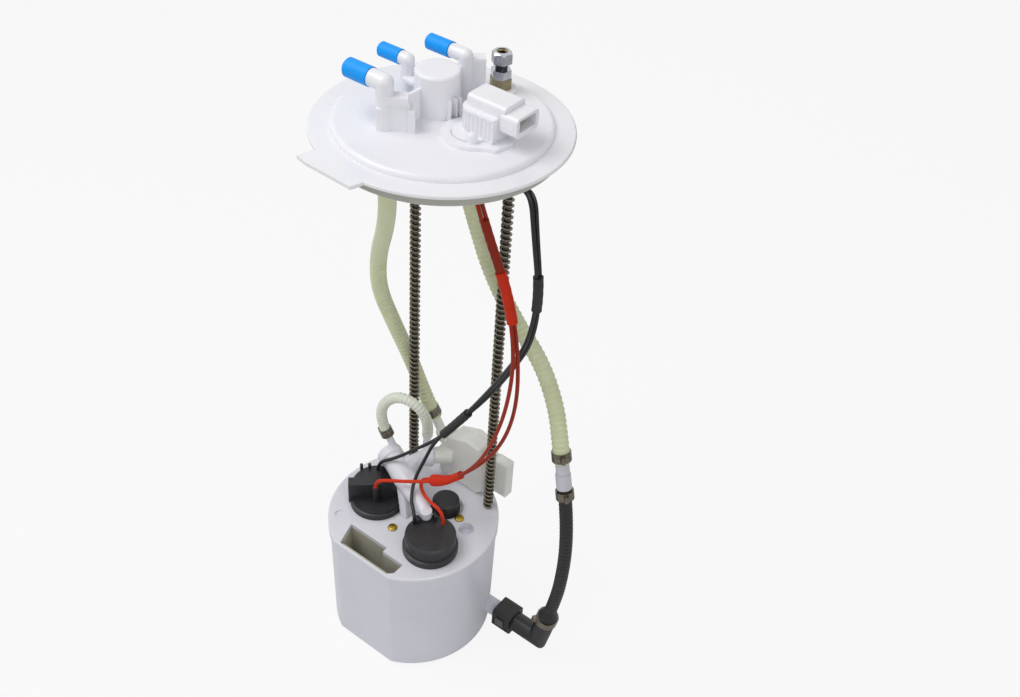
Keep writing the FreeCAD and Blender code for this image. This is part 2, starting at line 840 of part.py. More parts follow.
def make_carrier():
    body = new_body("pump_carrier")
    plate = new_sketch(body, "carrier_low")
    ring = "can_radius + isolator_wall + carrier_wall"
    circle(plate, "front_pump_x", "front_pump_y", ring)
    pad(body, plate, "carrier_thickness")
    plate = new_sketch(body, "carrier_low")
    circle(plate, "left_pump_x", "left_pump_y", ring)
    pad(body, plate, "carrier_thickness")
    arms = new_sketch(body, "carrier_low")
    polygon(arms, [
        ("left_pump_x", "left_pump_y - 8"), ("screw_one_x", "screw_one_y - 5"),
        ("front_pump_x", "front_pump_y - 4"), ("screw_two_x + 6", "screw_two_y"),
        ("screw_two_x - 6", "screw_two_y + 5"), ("screw_one_x + 6", "screw_one_y + 14"),
        ("left_pump_x", "left_pump_y + 10")])
    pad(body, arms, "carrier_thickness")
    posts = new_sketch(body, "carrier_low")
    circle(posts, "screw_one_x", "screw_one_y", "post_radius")
    circle(posts, "screw_two_x", "screw_two_y", "post_radius")
    pad(body, posts, "bucket_top - carrier_low")
    legs = new_sketch(body, "foot_height + bucket_floor")
    circle(legs, "screw_one_x", "screw_one_y", "leg_radius")
    circle(legs, "screw_two_x", "screw_two_y", "leg_radius")
    circle(legs, "left_pump_x - can_radius - isolator_wall - 2.8", "left_pump_y - 2", "leg_radius * 0.6")
    pad(body, legs, "carrier_low - foot_height - bucket_floor + 1")
    bores = new_sketch(body, "carrier_low - 1")
    circle(bores, "front_pump_x", "front_pump_y", "can_radius + isolator_wall")
    circle(bores, "left_pump_x", "left_pump_y", "can_radius + isolator_wall")
    pocket(body, bores, "carrier_thickness + 2")
    pilots = new_sketch(body, "bucket_top + cover_plate - screw_length")
    circle(pilots, "screw_one_x", "screw_one_y", "screw_shank")
    circle(pilots, "screw_two_x", "screw_two_y", "screw_shank")
    pocket(body, pilots, "screw_length")


def finger_angle():
    across = size("finger_x") - size("front_pump_x")
    back = size("finger_y") - size("front_pump_y")
    return math.degrees(math.atan2(back, across))


# One pump, made twice

def make_pump(name, at_x, at_y, cap_height):
    inner = "can_radius - can_wall"
    can = turned(name + "_pump_can", [
        ("0", "can_bottom"), ("can_radius", "can_bottom"), ("can_radius", "can_top"),
        (inner, "can_top"), (inner, "can_bottom + can_floor"),
        ("shaft_radius + shaft_clearance", "can_bottom + can_floor"),
        ("shaft_radius + shaft_clearance", "can_bottom + 1.5"), ("0", "can_bottom + 1.5")])
    pipe = new_sketch(can, "can_bottom - inlet_tube_drop")
    circle(pipe, "inlet_offset", "0", "inlet_tube")
    pad(can, pipe, "inlet_tube_drop + 0.5")
    bore = new_sketch(can, "can_bottom - inlet_tube_drop - 1")
    circle(bore, "inlet_offset", "0", "inlet_tube_bore")
    pocket(can, bore, "inlet_tube_drop + can_floor + 2")
    place(can, at_x, at_y)

    sleeve = turned(name + "_isolator", [
        ("can_radius", "carrier_low - 1.5"),
        ("can_radius + isolator_wall + 0.8", "carrier_low - 1.5"),
        ("can_radius + isolator_wall + 0.8", "carrier_low"),
        ("can_radius + isolator_wall", "carrier_low"),
        ("can_radius + isolator_wall", "carrier_low + carrier_thickness + 1.5"),
        ("can_radius", "carrier_low + carrier_thickness + 1.5")])
    place(sleeve, at_x, at_y)

    armature = turned(name + "_armature", [
        ("0", "can_bottom + 1.5 + shaft_lift"), ("shaft_radius", "can_bottom + 1.5 + shaft_lift"),
        ("shaft_radius", "armature_low"), ("armature_radius", "armature_low"),
        ("armature_radius", "armature_high"), ("commutator_radius", "armature_high + 2"),
        ("commutator_radius", "armature_high + 2 + commutator_height"),
        ("shaft_radius", "armature_high + 2 + commutator_height"),
        ("shaft_radius", "can_top + 2"), ("0", "can_top + 2")])
    place(armature, at_x, at_y)

    impeller = turned(name + "_impeller", [
        ("shaft_radius", "impeller_z"), ("impeller_radius", "impeller_z"),
        ("impeller_radius", "impeller_z + impeller_thickness"),
        ("shaft_radius", "impeller_z + impeller_thickness")])
    notch = new_sketch(impeller, "impeller_z - 1")
    polygon(notch, [
        ("impeller_radius - blade_depth", "0 - 1.2"), ("impeller_radius + 1", "0 - 1.2"),
        ("impeller_radius + 1", "1.2"), ("impeller_radius - blade_depth", "1.2")])
    cut = pocket(impeller, notch, "impeller_thickness + 2")
    doc.recompute()
    ring = impeller.newObject("PartDesign::PolarPattern", "PolarPattern")
    ring.Originals = [cut]
    ring.Axis = (notch, ["N_Axis"])
    ring.Angle = 360.0
    ring.setExpression("Occurrences", bound("impeller_blades"))
    impeller.Tip = ring
    place(impeller, at_x, at_y)

    top = "bucket_top + cover_plate"
    cap = turned(name + "_pump_cap", [
        ("0", "can_top + 2.5"), ("shaft_radius + shaft_clearance", "can_top + 2.5"),
        ("shaft_radius + shaft_clearance", "can_top"), ("spigot_radius", "can_top"),
        ("spigot_radius", top), ("cap_ring_radius", top), ("cap_ring_radius", top + " + cap_ring_height"),
        ("cap_radius", top + " + cap_ring_height + 0.6"),
        ("cap_radius", top + " + " + cap_height + " - cap_round"),
        ("cap_radius - cap_round", top + " + " + cap_height), ("0", top + " + " + cap_height)])
    place(cap, at_x, at_y)

    half = "strainer_length * 0.5"
    side = "strainer_width * 0.5"
    bag = new_body(name + "_strainer")
    outline = new_sketch(bag, "can_bottom - inlet_tube_drop - strainer_thickness")
    polygon(outline, [
        ("0 - " + half, "0 - " + side), (half, "0 - " + side),
        (half, side), ("0 - " + half, side)])
    pouch = pad(bag, outline, "strainer_thickness")
    low = size("can_bottom") - size("inlet_tube_drop") - size("strainer_thickness")
    round_edges(bag, pouch, lambda edge: not at_level(edge, low) and edge.BoundBox.ZMin < low + 0.1,
                "strainer_round")
    place(bag, at_x, at_y)
    return cap


def make_front_cap(cap):
    """Two prongs beside the finger of the manifold."""
    guard = new_sketch(cap, "bucket_top + cover_plate + cap_height - 1")
    turn_sketch(guard, finger_angle())
    inner = "finger_half + guard_gap"
    outer = "finger_half + guard_gap + guard_wall"
    polygon(guard, [("guard_inner", inner), ("guard_outer", inner), ("guard_outer", outer),
                    ("guard_inner", outer)])
    inner = "0 - finger_half - guard_gap"
    outer = "0 - finger_half - guard_gap - guard_wall"
    polygon(guard, [("guard_inner", inner), ("guard_outer", inner), ("guard_outer", outer),
                    ("guard_inner", outer)])
    pad(cap, guard, "1 + guard_height")


def make_left_cap(cap):
    """The tall cap: a low front, a sloping right side, a tower and two pins."""
    top = "bucket_top + cover_plate + tall_cap_height"
    turn = size("left_cap_turn")
    front = new_sketch(cap, "bucket_top + cover_plate + left_cap_low")
    turn_sketch(front, turn)
    polygon(front, [("0 - 26", "0 - 26"), ("26", "0 - 26"), ("26", "0 - left_cap_wall"),
                    ("0 - 26", "0 - left_cap_wall")])
    pocket(cap, front, "tall_cap_height")
    slope = new_sketch(cap, "22.3", "XZ_Plane")
    slope.AttachmentOffset = FreeCAD.Placement(Vector(20.07, 0, 22.3),
                                               FreeCAD.Rotation(Vector(0, 1, 0), turn))
    polygon(slope, [("3", top + " + 1"), ("3", top), ("18.4", top + " - 10"),
                    ("30", top + " - 10"), ("30", top + " + 1")])
    pocket(cap, slope, "60", False)
    tower = new_sketch(cap, "bucket_top + cover_plate + 2")
    turn_sketch(tower, turn)
    polygon(tower, [("0 - 21", "0 - left_cap_wall"), ("0 - 1", "0 - left_cap_wall"),
                    ("0 - 1", "5"), ("0 - 21", "5")])
    pad(cap, tower, "tall_cap_height - 2")
    boss = new_sketch(cap, "bucket_top + cover_plate + left_cap_low - 1")
    circle(boss, "3.1", "0 - 4.8", "2.4")
    pad(cap, boss, "tall_cap_height - left_cap_low + 1")
    pins = new_sketch(cap, "bucket_top + cover_plate + 2")
    circle(pins, "0 - 18.0", "3.0", "1.2")
    circle(pins, "0 - 13.7", "7.2", "1.2")
    pad(cap, pins, "tall_cap_height + 2")


def make_relief_valve():
    top = "bucket_top + cover_plate"
    seat = top + " - recess_depth"
    body = turned("relief_valve", [
        ("0", "bucket_top - 8"), ("relief_spigot", "bucket_top - 8"), ("relief_spigot", seat),
        ("relief_ring", seat), ("relief_ring", top + " + 1.5"), ("relief_radius", top + " + 1.5"),
        ("relief_radius", top + " + relief_height - 1.6"),
        ("relief_radius - 2.2", top + " + relief_height"), ("0", top + " + relief_height")])
    place(body, "relief_x", "relief_y")


# Manifold, filter housing and loop hose on the cover

MANIFOLD_LEFT = (-35.0, 14.1)
MANIFOLD_RIGHT = (-12.3, 36.0)


def make_manifold():
    z = size("manifold_z")
    top = size("bucket_top") + size("cover_plate")
    left = Vector(MANIFOLD_LEFT[0], MANIFOLD_LEFT[1], z)
    right = Vector(MANIFOLD_RIGHT[0], MANIFOLD_RIGHT[1], z)
    way = (right - left).normalize()
    length = size("collar_length")
    side = Vector(way.y, -way.x, 0)
    middle = (left + right) * 0.5 + Vector(0, 0, -2)
    high = [middle - way * 10 + side * 1, middle + way * 10 + side * 1,
            middle + way * 10 - side * 4, middle - way * 10 - side * 4]
    foot = Vector(0, -6, top)
    low = [foot - way * 4.5 + side * 4, foot + way * 4.5 + side * 4,
           foot + way * 4.5 - side * 4, foot - way * 4.5 - side * 4]
    leg = Part.makeLoft([Part.makePolygon(low + [low[0]]), Part.makePolygon(high + [high[0]])],
                        True, True)
    room = size("cap_ring_radius") + 0.4
    for pump in ("front", "left"):
        leg = leg.cut(rod(size(pump + "_pump_x"), size(pump + "_pump_y"), top - 1, z + 10, room))
    pieces = [bar(left, right, size("manifold_radius")),
              bar(left, left + way * length, size("manifold_collar")),
              bar(right - way * length, right, size("manifold_collar")), leg]
    nipple = size("nipple_radius")
    pieces.append(stub(LOOP_HOSE[1], LOOP_HOSE[0], 17, nipple))
    pieces.append(stub(LOOP_HOSE[-2], LOOP_HOSE[-1], 23, nipple))
    half = size("finger_half")
    cap_top = top + size("cap_height")
    under = cap_top + size("finger_gap")
    tall = size("finger_height")
    end = Vector(size("finger_x"), size("finger_y"), under)
    root = Vector(-17, 16.8, under)
    across = (end - root).normalize()
    across = Vector(-across.y, across.x, 0) * half
    arm = Part.Face(Part.makePolygon([root - across, end - across, end + across, root + across,
                                      root - across])).extrude(Vector(0, 0, tall))
    pieces.append(arm)
    pieces.append(rod(end.x, end.y, under, under + tall, half))
    pieces.append(rod(end.x, end.y, cap_top, under + 1, size("finger_tip")))
    plain("manifold", fuse(pieces))


def make_filter_housing():
    x = size("filter_x")
    y = size("filter_y")
    z = size("filter_z")
    top = size("bucket_top") + size("cover_plate")
    radius = size("filter_radius")
    depth = size("filter_depth")
    rim = size("filter_rim")
    along = Vector(0, 1, 0)
    pieces = [Part.makeCylinder(radius, depth, Vector(x, y, z), along),
              Part.makeCylinder(radius + rim, 3.0, Vector(x, y + depth * 0.55, z), along),
              block((x - 9, y + 1, top), (x + 9, y + depth - 1, z - 12))]
    lug_x = size("lug_x")
    lug_y = size("lug_y")
    half = size("lug_half")
    lug = block((lug_x - half, lug_y - 4, top + 2), (lug_x + half, lug_y + 5, size("lug_top")))
    lug = lug.makeFillet(size("lug_round"), [e for e in lug.Edges if e.BoundBox.YLength > 8])
    pieces.append(lug)
    pieces.append(block((x + radius - 4, lug_y - 2, z - 8), (lug_x, lug_y + 2, z + 8)))
    entry = Vector(MANIFOLD_RIGHT[0], MANIFOLD_RIGHT[1], size("manifold_z"))
    way = (entry - Vector(MANIFOLD_LEFT[0], MANIFOLD_LEFT[1], entry.z)).normalize()
    pieces.append(bar(entry, entry + way * 13, size("manifold_radius")))
    nipple = size("barb_radius")
    pieces.append(stub(LEFT_HOSE[-2], LEFT_HOSE[-1], 22, nipple))
    hose_end = Vector(*LEFT_HOSE[-1])
    down = (hose_end - Vector(*LEFT_HOSE[-2])).normalize()
    knee = hose_end + down * 21
    boss = nipple + 1.6
    pieces.append(bar(hose_end + down * 14, knee, boss))
    pieces.append(Part.makeSphere(boss, knee))
    pieces.append(bar(knee, (x - radius + 8, knee.y - 0.5, z), boss))
    plain("filter_housing", fuse(pieces))


def make_clamp(label, before, end, inset, hose_radius, ear_way):
    """A steel band with a crimped ear, on the straight end of a hose."""
    end = Vector(*end)
    way = (end - Vector(*before)).normalize()
    width = size("clamp_width")
    thick = size("clamp_thickness")
    gap = size("clamp_gap")
    ear = size("clamp_ear")
    start = end - way * (inset + width)
    band = Part.makeCylinder(hose_radius + gap + thick, width, start, way)
    ear_way = Vector(*ear_way)
    ear_way = (ear_way - way * ear_way.dot(way)).normalize()
    across = way.cross(ear_way)
    low = start + way * (width * 0.15) + ear_way * hose_radius - across * (ear / 2)
    corners = [low, low + across * ear, low + across * (ear * 0.8) + ear_way * ear,
               low + across * (ear * 0.2) + ear_way * ear, low]
    crimp = Part.Face(Part.makePolygon(corners)).extrude(way * (width * 0.7))
    hole = Part.makeCylinder(hose_radius + gap, width * 3, start - way * width, way)
    plain(label, fuse([band, crimp]).cut(hole))


def make_clamps():
    left = size("left_hose_radius")
    right = size("right_hose_radius")
    black = size("black_cuff_radius")
    low_cuff = size("low_cuff_radius")
    loop = size("loop_hose_radius")
    make_clamp("left_hose_clamp", LEFT_HOSE[-2], LEFT_HOSE[-1], 2, left, (-1, 0, 0))
    make_clamp("right_hose_clamp", RIGHT_HOSE[-2], RIGHT_HOSE[-1], 1.5, right, (1, -1, 0))
    make_clamp("coupler_clamp", BLACK_HOSE[1], BLACK_HOSE[0], 1.5, black, (1, -1, 0))
    make_clamp("cuff_clamp", BLACK_HOSE[-2], BLACK_HOSE[-1], 1.5, low_cuff, (-1, -1, 0))
    make_clamp("loop_hose_clamp", LOOP_HOSE[1], LOOP_HOSE[0], 1, loop, (-1, 0, 0.3))


def black_cuffs(radius):
    """The thicker ends of the black hose."""
    start = Vector(*BLACK_HOSE[0])
    way = (Vector(*BLACK_HOSE[1]) - start).normalize()
    end = Vector(*BLACK_HOSE[-1])
    up = (Vector(*BLACK_HOSE[-2]) - end).normalize()
    wide = size("low_cuff_radius")
    length = size("low_cuff_length")
    return [Part.makeCylinder(size("black_cuff_radius"), size("black_cuff_length"), start, way),
            Part.makeCylinder(wide, length, end, up),
            Part.makeCone(wide, radius + 0.3, size("low_cuff_taper"), end + up * length, up)]


def make_hoses():
    left = size("left_hose_radius")
    right = size("right_hose_radius")
    black = size("black_hose_radius")
    plain("left_hose", tube(LEFT_HOSE, left, "left hose"))
    plain("right_hose", tube(RIGHT_HOSE, right, "right hose"))
    plain("black_hose", fuse([tube(BLACK_HOSE, black, "black hose")] + black_cuffs(black)))
    loop = tube(LOOP_HOSE, size("loop_hose_radius"), "loop hose")
    plain("loop_hose", loop)


def make_coupler():
    """White coupler between the two hoses."""
    low = Vector(*BLACK_HOSE[0])
    high = Vector(*RIGHT_HOSE[-1])
    length = (high - low).Length
    pieces = [stub(RIGHT_HOSE[-2], RIGHT_HOSE[-1], length * 0.55, size("coupler_high_radius")),
              stub(BLACK_HOSE[1], BLACK_HOSE[0], length * 0.55, size("coupler_low_radius"))]
    plain("hose_coupler", fuse(pieces))


def make_elbow():
    """Quick connector on the spout: a latch housing, a neck and an upturned end."""
    y = size("spout_y")
    z = size("spout_z")
    hose_end = Vector(*BLACK_HOSE[-1])
    down = (hose_end - Vector(*BLACK_HOSE[-2])).normalize()
    corner = hose_end + down * ((z - hose_end.z) / down.z)
    start = size("spout_root_end") + 1.2
    half = size("latch_half")
    radius = size("elbow_radius")
    end = start + size("latch_length")
    latch = block((start, y - half, z - half), (end, y + half, z + half))
    latch = latch.makeChamfer(2.0, [e for e in latch.Edges if e.BoundBox.XLength > 2])
    level = bar((end - 1, y, z), corner + Vector(2 * radius, 0, 0), radius)
    upright = bar(hose_end, corner + down * (2 * radius), radius)
    mitre = level.common(upright)
    body = fuse([latch, bar((end - 1, y, z), corner, radius), mitre, bar(corner, hose_end, radius)])
    socket = bar((start - 1, y, z), (size("spout_end") + 0.6, y, z), size("spout_radius") + 0.05)
    way_in = bar((start, y, z), corner, size("spout_bore"))
    way_up = bar(corner, hose_end - down, size("spout_bore"))
    button = size("button_size") / 2
    depth = size("button_depth")
    gap = size("button_gap")
    face = y - half
    centre = start + size("latch_length") * 0.45
    seat = block((centre - button - gap, face - 1, z - button - gap),
                 (centre + button + gap, face + depth + size("button_travel"), z + button + gap))
    plain("quick_connector", body.cut(socket).cut(way_in).cut(way_up).cut(seat))
    proud = size("button_proud")
    plain("release_button", block((centre - button, face - proud, z - button),
                                  (centre + button, face - proud + depth, z + button)))


# Guide rods, clips and springs

def make_rods():
    for side in ("left", "right"):
        label = "guide_rod_" + side
        body = turned(label, [
            ("0", "rod_low"), ("rod_radius - 0.5", "rod_low"), ("rod_radius", "rod_low + 0.8"),
            ("rod_radius", "flange_rim_z - socket_drop + rod_press"),
            ("0", "flange_rim_z - socket_drop + rod_press")])
        place(body, side + "_rod_x", side + "_rod_y")
    low = size("bucket_top") - size("bush_drop") - size("clip_gap") - size("clip_thickness")
    clips = []
    for side in ("left", "right"):
        x = size(side + "_rod_x")
        y = size(side + "_rod_y")
        ring = rod(x, y, low, low + size("clip_thickness"), size("clip_radius"))
        hole = rod(x, y, low - 1, low + size("clip_thickness") + 1, size("rod_radius"))
        mouth = block((x - 1.2, y, low - 1), (x + 1.2, y + size("clip_radius") + 1,
                                              low + size("clip_thickness") + 1))
        clips.append(ring.cut(hole).cut(mouth))
    plain("rod_clips", Part.makeCompound(clips))


def coil(x, y, low, high):
    """A wire spring: six straight pieces a turn with a three-sided wire."""
    sides = 6
    turns = int(size("spring_turns"))
    radius = size("spring_radius") - size("spring_wire") / 2
    half = size("spring_wire") / 2
    steps = turns * sides
    rise = (high - low - 2 * half) / steps
    rings = []
    for i in range(steps + 1):
        angle = 2 * math.pi * i / sides
        out = Vector(math.cos(angle), math.sin(angle), 0)
        middle = Vector(x, y, low + half + rise * i) + out * radius
        rings.append([middle + out * half, middle + Vector(0, 0, half) - out * (half * 0.7),
                      middle - Vector(0, 0, half) - out * (half * 0.7)])
    faces = [Part.Face(Part.makePolygon(rings[0] + [rings[0][0]])),
             Part.Face(Part.makePolygon(rings[-1] + [rings[-1][0]]))]
    for lower, upper in zip(rings, rings[1:]):
        for k in range(3):
            n = (k + 1) % 3
            faces.append(Part.Face(Part.makePolygon([lower[k], lower[n], upper[n], lower[k]])))
            faces.append(Part.Face(Part.makePolygon([lower[k], upper[n], upper[k], lower[k]])))
    shell = Part.makeShell(faces)
    solid = Part.makeSolid(shell)
    if solid.Volume < 0:
        solid.reverse()
    return solid


def make_springs():
    low = size("bucket_top") + size("cover_plate")
    high = size("flange_rim_z") - size("socket_drop")
    for side in ("left", "right"):
        plain("spring_" + side, coil(size(side + "_rod_x"), size(side + "_rod_y"), low, high))


# The tank flange with its outlets

def make_flange():
    x = size("flange_x")
    y = size("flange_y")
    rim_top = size("flange_rim_z")
    rim_low = rim_top - size("flange_rim")
    skirt_z = rim_top - size("skirt_drop")
    skirt = size("flange_skirt_radius")
    raised = rim_top + size("plateau_rise")
    disc = rod(x, y, rim_low, rim_top, size("flange_radius"))
    disc = disc.makeFillet(0.8, [e for e in disc.Edges if at_level(e, rim_top)])
    plateau = rod(x, y, rim_low, raised, size("plateau_radius"))
    plateau = plateau.makeFillet(size("plateau_round"), [e for e in plateau.Edges if at_level(e, raised)])
    reach = size("tab_reach")
    corners = [(-31.7, -66), (-32.2, 13.2 - reach), (-34.8, 3.5 - reach), (-26.9, 1.7 - reach),
               (7.1, -reach), (8.8, 6 - reach), (8.8, -70)]
    outline = [Vector(x + a, y + b, rim_low) for a, b in corners]
    tab = Part.Face(Part.makePolygon(outline + [outline[0]])).extrude(Vector(0, 0, size("flange_rim")))
    wall = size("flange_skirt_wall")
    ring = rod(x, y, skirt_z, rim_low + 0.5, skirt).cut(rod(x, y, skirt_z - 1, rim_low, skirt - wall))
    solids = [disc, plateau, tab, ring]
    socket_z = rim_top - size("socket_drop")
    for side in ("left", "right"):
        solids.append(rod(size(side + "_rod_x"), size(side + "_rod_y"), socket_z, raised - 1,
                          size("socket_radius")))
    turret_x = size("turret_x")
    turret_y = size("turret_y")
    top = rim_top + size("turret_rise")
    turret = rod(turret_x, turret_y, rim_top, top, size("turret_radius"))
    solids.append(turret.makeFillet(1.8, [e for e in turret.Edges if at_level(e, top)]))
    centre = Vector(turret_x, turret_y, raised - 1)
    for fin_x, fin_y in ((17.7, 7.9), (18.6, 12.3), (19.5, 14.9)):
        way = Vector(fin_x, fin_y, raised - 1) - centre
        far = way.Length
        way = way.normalize()
        side = Vector(-way.y, way.x, 0) * 0.6
        low = [centre + way * 12 - side, centre + way * far - side, centre + way * far + side,
               centre + way * 12 + side]
        solids.append(Part.Face(Part.makePolygon(low + [low[0]])).extrude(Vector(0, 0, 14)))
    solids.extend(connector_seat(raised))
    for place_name in ("front", "middle", "rear"):
        solids.extend(outlet(place_name, raised))
    front_y = size("front_outlet_y")
    rear_y = size("rear_outlet_y")
    solids.append(block((turret_x - 3, front_y + 4, raised - 1), (turret_x - 1, turret_y - 6, raised + 17.5)))
    solids.append(block((turret_x - 1, turret_y + 6, raised - 1), (turret_x + 1, rear_y + 4, raised + 19.5)))
    fitting_x = size("fitting_x")
    fitting_y = size("fitting_y")
    solids.append(rod(fitting_x, fitting_y, raised - 1, raised + 2, 9.4))
    whole = fuse(solids)
    cuts = [rod(size("connector_x"), size("connector_y"), rim_low - 10, raised + 10, size("connector_hole"))]
    for side in ("left", "right"):
        cuts.append(rod(size(side + "_rod_x"), size(side + "_rod_y"), socket_z - 1,
                        socket_z + size("rod_press"), size("rod_radius")))
    for place_name in ("front", "middle", "rear"):
        cuts.extend(outlet_bore(place_name))
    cuts.append(rod(fitting_x, fitting_y, rim_low - 1, raised + 5, size("fitting_bore")))
    for tool in cuts:
        whole = whole.cut(tool)
    plain("tank_flange", whole)


def connector_seat(raised):
    """Raised ring, pad and lug round the electrical connector."""
    x = size("connector_x")
    y = size("connector_y")
    level = raised + size("connector_ring_rise")
    outline = [Vector(a, b, raised - 1) for a, b in
               ((44.8, 3.5), (50.4, 13.2), (59.0, 11.2), (56.7, -1.7), (46.0, -6.0))]
    seat = Part.Face(Part.makePolygon(outline + [outline[0]])).extrude(Vector(0, 0, level - raised + 1))
    lug = rod(41.8, -2.7, raised - 1, level + 3.3, 3.2)
    dome = Part.makeSphere(3.2, Vector(41.8, -2.7, level + 3.3))
    return [rod(x, y, raised - 2, level, size("connector_ring")), seat, lug, dome]


def outlet(name, raised):
    """A column with a barb below, and a tube that points to -X."""
    x = size(name + "_outlet_x")
    y = size(name + "_outlet_y")
    z = size("flange_rim_z") + size(name + "_outlet_rise")
    root = size(name + "_root_radius")
    shoulder = x - size(name + "_root_length")
    barb_z = size("flange_rim_z") - size("barb_drop")
    pieces = [bar((x, y, z), (shoulder - size("outlet_tip"), y, z), size(name + "_outlet_radius")),
              bar((x, y, z), (shoulder, y, z), root),
              Part.makeSphere(root, Vector(x, y, z)),
              rod(x, y, raised - 1, z, root),
              rod(x, y, barb_z, raised, size("barb_radius"))]
    if name == "front":
        pieces.append(slanted_box((0.3, -17.4), (0.80, 0.59), 10.6, 6.7, 2.6, raised - 1, z - 6))
        for shift in (-1, 1):
            low = Vector(0.3, -17.4, 0) + Vector(0.805, 0.593, 0) * (8.6 * shift)
            pieces.append(slanted_box((low.x, low.y), (0.80, 0.59), 2.0, 2.0, 4.0, raised - 1, z - 13))
        pieces.append(slanted_box((0.3, -17.4), (0.80, 0.59), 6.7, 6.7, 4.0, z - 10, z - 6))
    elif name == "rear":
        pieces.append(slanted_box((4.0, 44.0), (0.72, 0.69), 7.6, 7.2, 4.0, raised - 1, z - 2))
    else:
        pieces.append(block((x, y - 1, raised - 1), (size("turret_x") - 9, y + 1, z - 8)))
        pieces.append(block((x + 1, y - 7, z - 10), (size("turret_x") - 9, y + 4, z - 8)))
    return pieces


def outlet_bore(name):
    x = size(name + "_outlet_x")
    y = size(name + "_outlet_y")
    z = size("flange_rim_z") + size(name + "_outlet_rise")
    tip = x - size(name + "_root_length") - size("outlet_tip") - 1
    barb_z = size("flange_rim_z") - size("barb_drop")
    return [bar((tip, y, z), (x, y, z), size(name + "_outlet_bore")),
            rod(x, y, barb_z - 1, z, size("barb_radius") - 1.2)]


def make_shipping_caps():
    for name in ("front", "middle", "rear"):
        x = size(name + "_outlet_x") - size(name + "_root_length") - size("cap_seat")
        y = size(name + "_outlet_y")
        z = size("flange_rim_z") + size(name + "_outlet_rise")
        length = size(name + "_cap_length")
        shell = bar((x, y, z), (x - length, y, z), size(name + "_cap_radius"))
        shell = shell.makeChamfer(1.0, [e for e in shell.Edges if e.BoundBox.XMax < x - length + 0.1])
        hollow = bar((x + 1, y, z), (x - size("outlet_tip"), y, z),
                     size(name + "_outlet_radius") + size("cap_tube_gap"))
        plain("shipping_cap_" + name, shell.cut(hollow))


def make_connector():
    x = size("connector_x")
    y = size("connector_y")
    column = size("connector_column")
    rim_top = size("flange_rim_z")
    rim_low = rim_top - size("flange_rim")
    seat = rim_top + size("plateau_rise") + size("connector_ring_rise")
    base_low = rim_low - size("base_thickness")
    wall = size("shroud_wall")
    # the fluted block that stands on the flange's ring
    stand = block((27, 1.5, seat), (52, 20, rim_top + 20))
    stand = stand.makeFillet(8.0, [e for e in stand.Edges
                                   if e.BoundBox.ZLength > 10 and e.BoundBox.XMax < 27.1])
    flutes = [rod(36 + 2.8 * i, 1.2, seat + 1.5, rim_top + 18.5, 1.1) for i in range(6)]
    for i in range(5):
        angle = math.radians(185 + 19 * i)
        flutes.append(rod(35 + 8.3 * math.cos(angle), 9.5 + 8.3 * math.sin(angle), seat + 1.5,
                          rim_top + 18.5, 1.1))
    stand = stand.cut(Part.makeCompound(flutes))
    # hood and nose with the mouth towards +X
    hood_low = rim_top + size("hood_rise")
    hood_top = hood_low + size("hood_height")
    right = size("hood_right")
    hood = block((size("hood_left"), size("hood_front"), hood_low), (right, size("hood_back"), hood_top))
    hood = hood.makeFillet(2.4, [e for e in hood.Edges if e.BoundBox.XLength > 20 and e.BoundBox.ZMin > hood_low + 1])
    nose_low = rim_top + size("nose_rise")
    mouth = size("nose_right")
    nose = block((right - 2, size("nose_front"), nose_low), (mouth, size("nose_back"), nose_low + size("nose_height")))
    nose = nose.makeFillet(3.0, [e for e in nose.Edges if e.BoundBox.XLength > 5])
    upright = rod(x, y, base_low - 9, base_low + 1, column)
    base = rod(x, y, base_low, rim_low, size("connector_base"))
    foot = rod(x, y, rim_low - 0.5, seat + 1, size("connector_hole") - 0.3)
    body = fuse([stand, hood, nose, upright, base, foot])
    socket_low = rim_top + size("socket_rise")
    socket_top = socket_low + size("socket_height")
    deep = mouth - size("shroud_socket")
    front = size("nose_front") + wall + 1.0
    back = size("nose_back") - wall - 1.0
    socket = block((deep, front, socket_low), (mouth + 1, back, socket_top))
    middle_y = (front + back) / 2
    key = block((deep - 0.5, middle_y - 3, socket_top - 1.2), (mouth - 4, middle_y + 3, socket_top + 0.5))
    body = body.cut(socket).fuse(key).removeSplitter()
    body = body.cut(rod(x, y, base_low - 10, base_low, column - 2.2))
    blades = []
    thick = size("blade_thickness")
    width = size("blade_width")
    middle = (socket_low + socket_top) / 2 - 0.4
    for i in range(4):
        across = front + 2.4 + i * (back - front - 4.8) / 3
        blades.append(block((deep, across - width / 2, middle - thick / 2),
                            (deep + size("blade_length"), across + width / 2, middle + thick / 2)))
    groove_low = rim_low - size("seal_height")
    groove = rod(x, y, groove_low, rim_low + 0.5, size("seal_outer"))
    groove = groove.cut(rod(x, y, groove_low - 1, rim_low + 1, size("seal_inner")))
    seal = rod(x, y, groove_low, rim_low, size("seal_outer"))
    seal = seal.cut(rod(x, y, groove_low - 1, rim_low + 1, size("seal_inner")))
    plain("connector_body", body.cut(groove))
    plain("connector_seal", seal)
    plain("connector_terminals", Part.makeCompound(blades))


def hexagon(x, y, low, high, across):
    corners = [Vector(x + across * math.cos(math.radians(60 * i + 20)),
                      y + across * math.sin(math.radians(60 * i + 20)), low) for i in range(7)]
    return Part.Face(Part.makePolygon(corners)).extrude(Vector(0, 0, high - low))


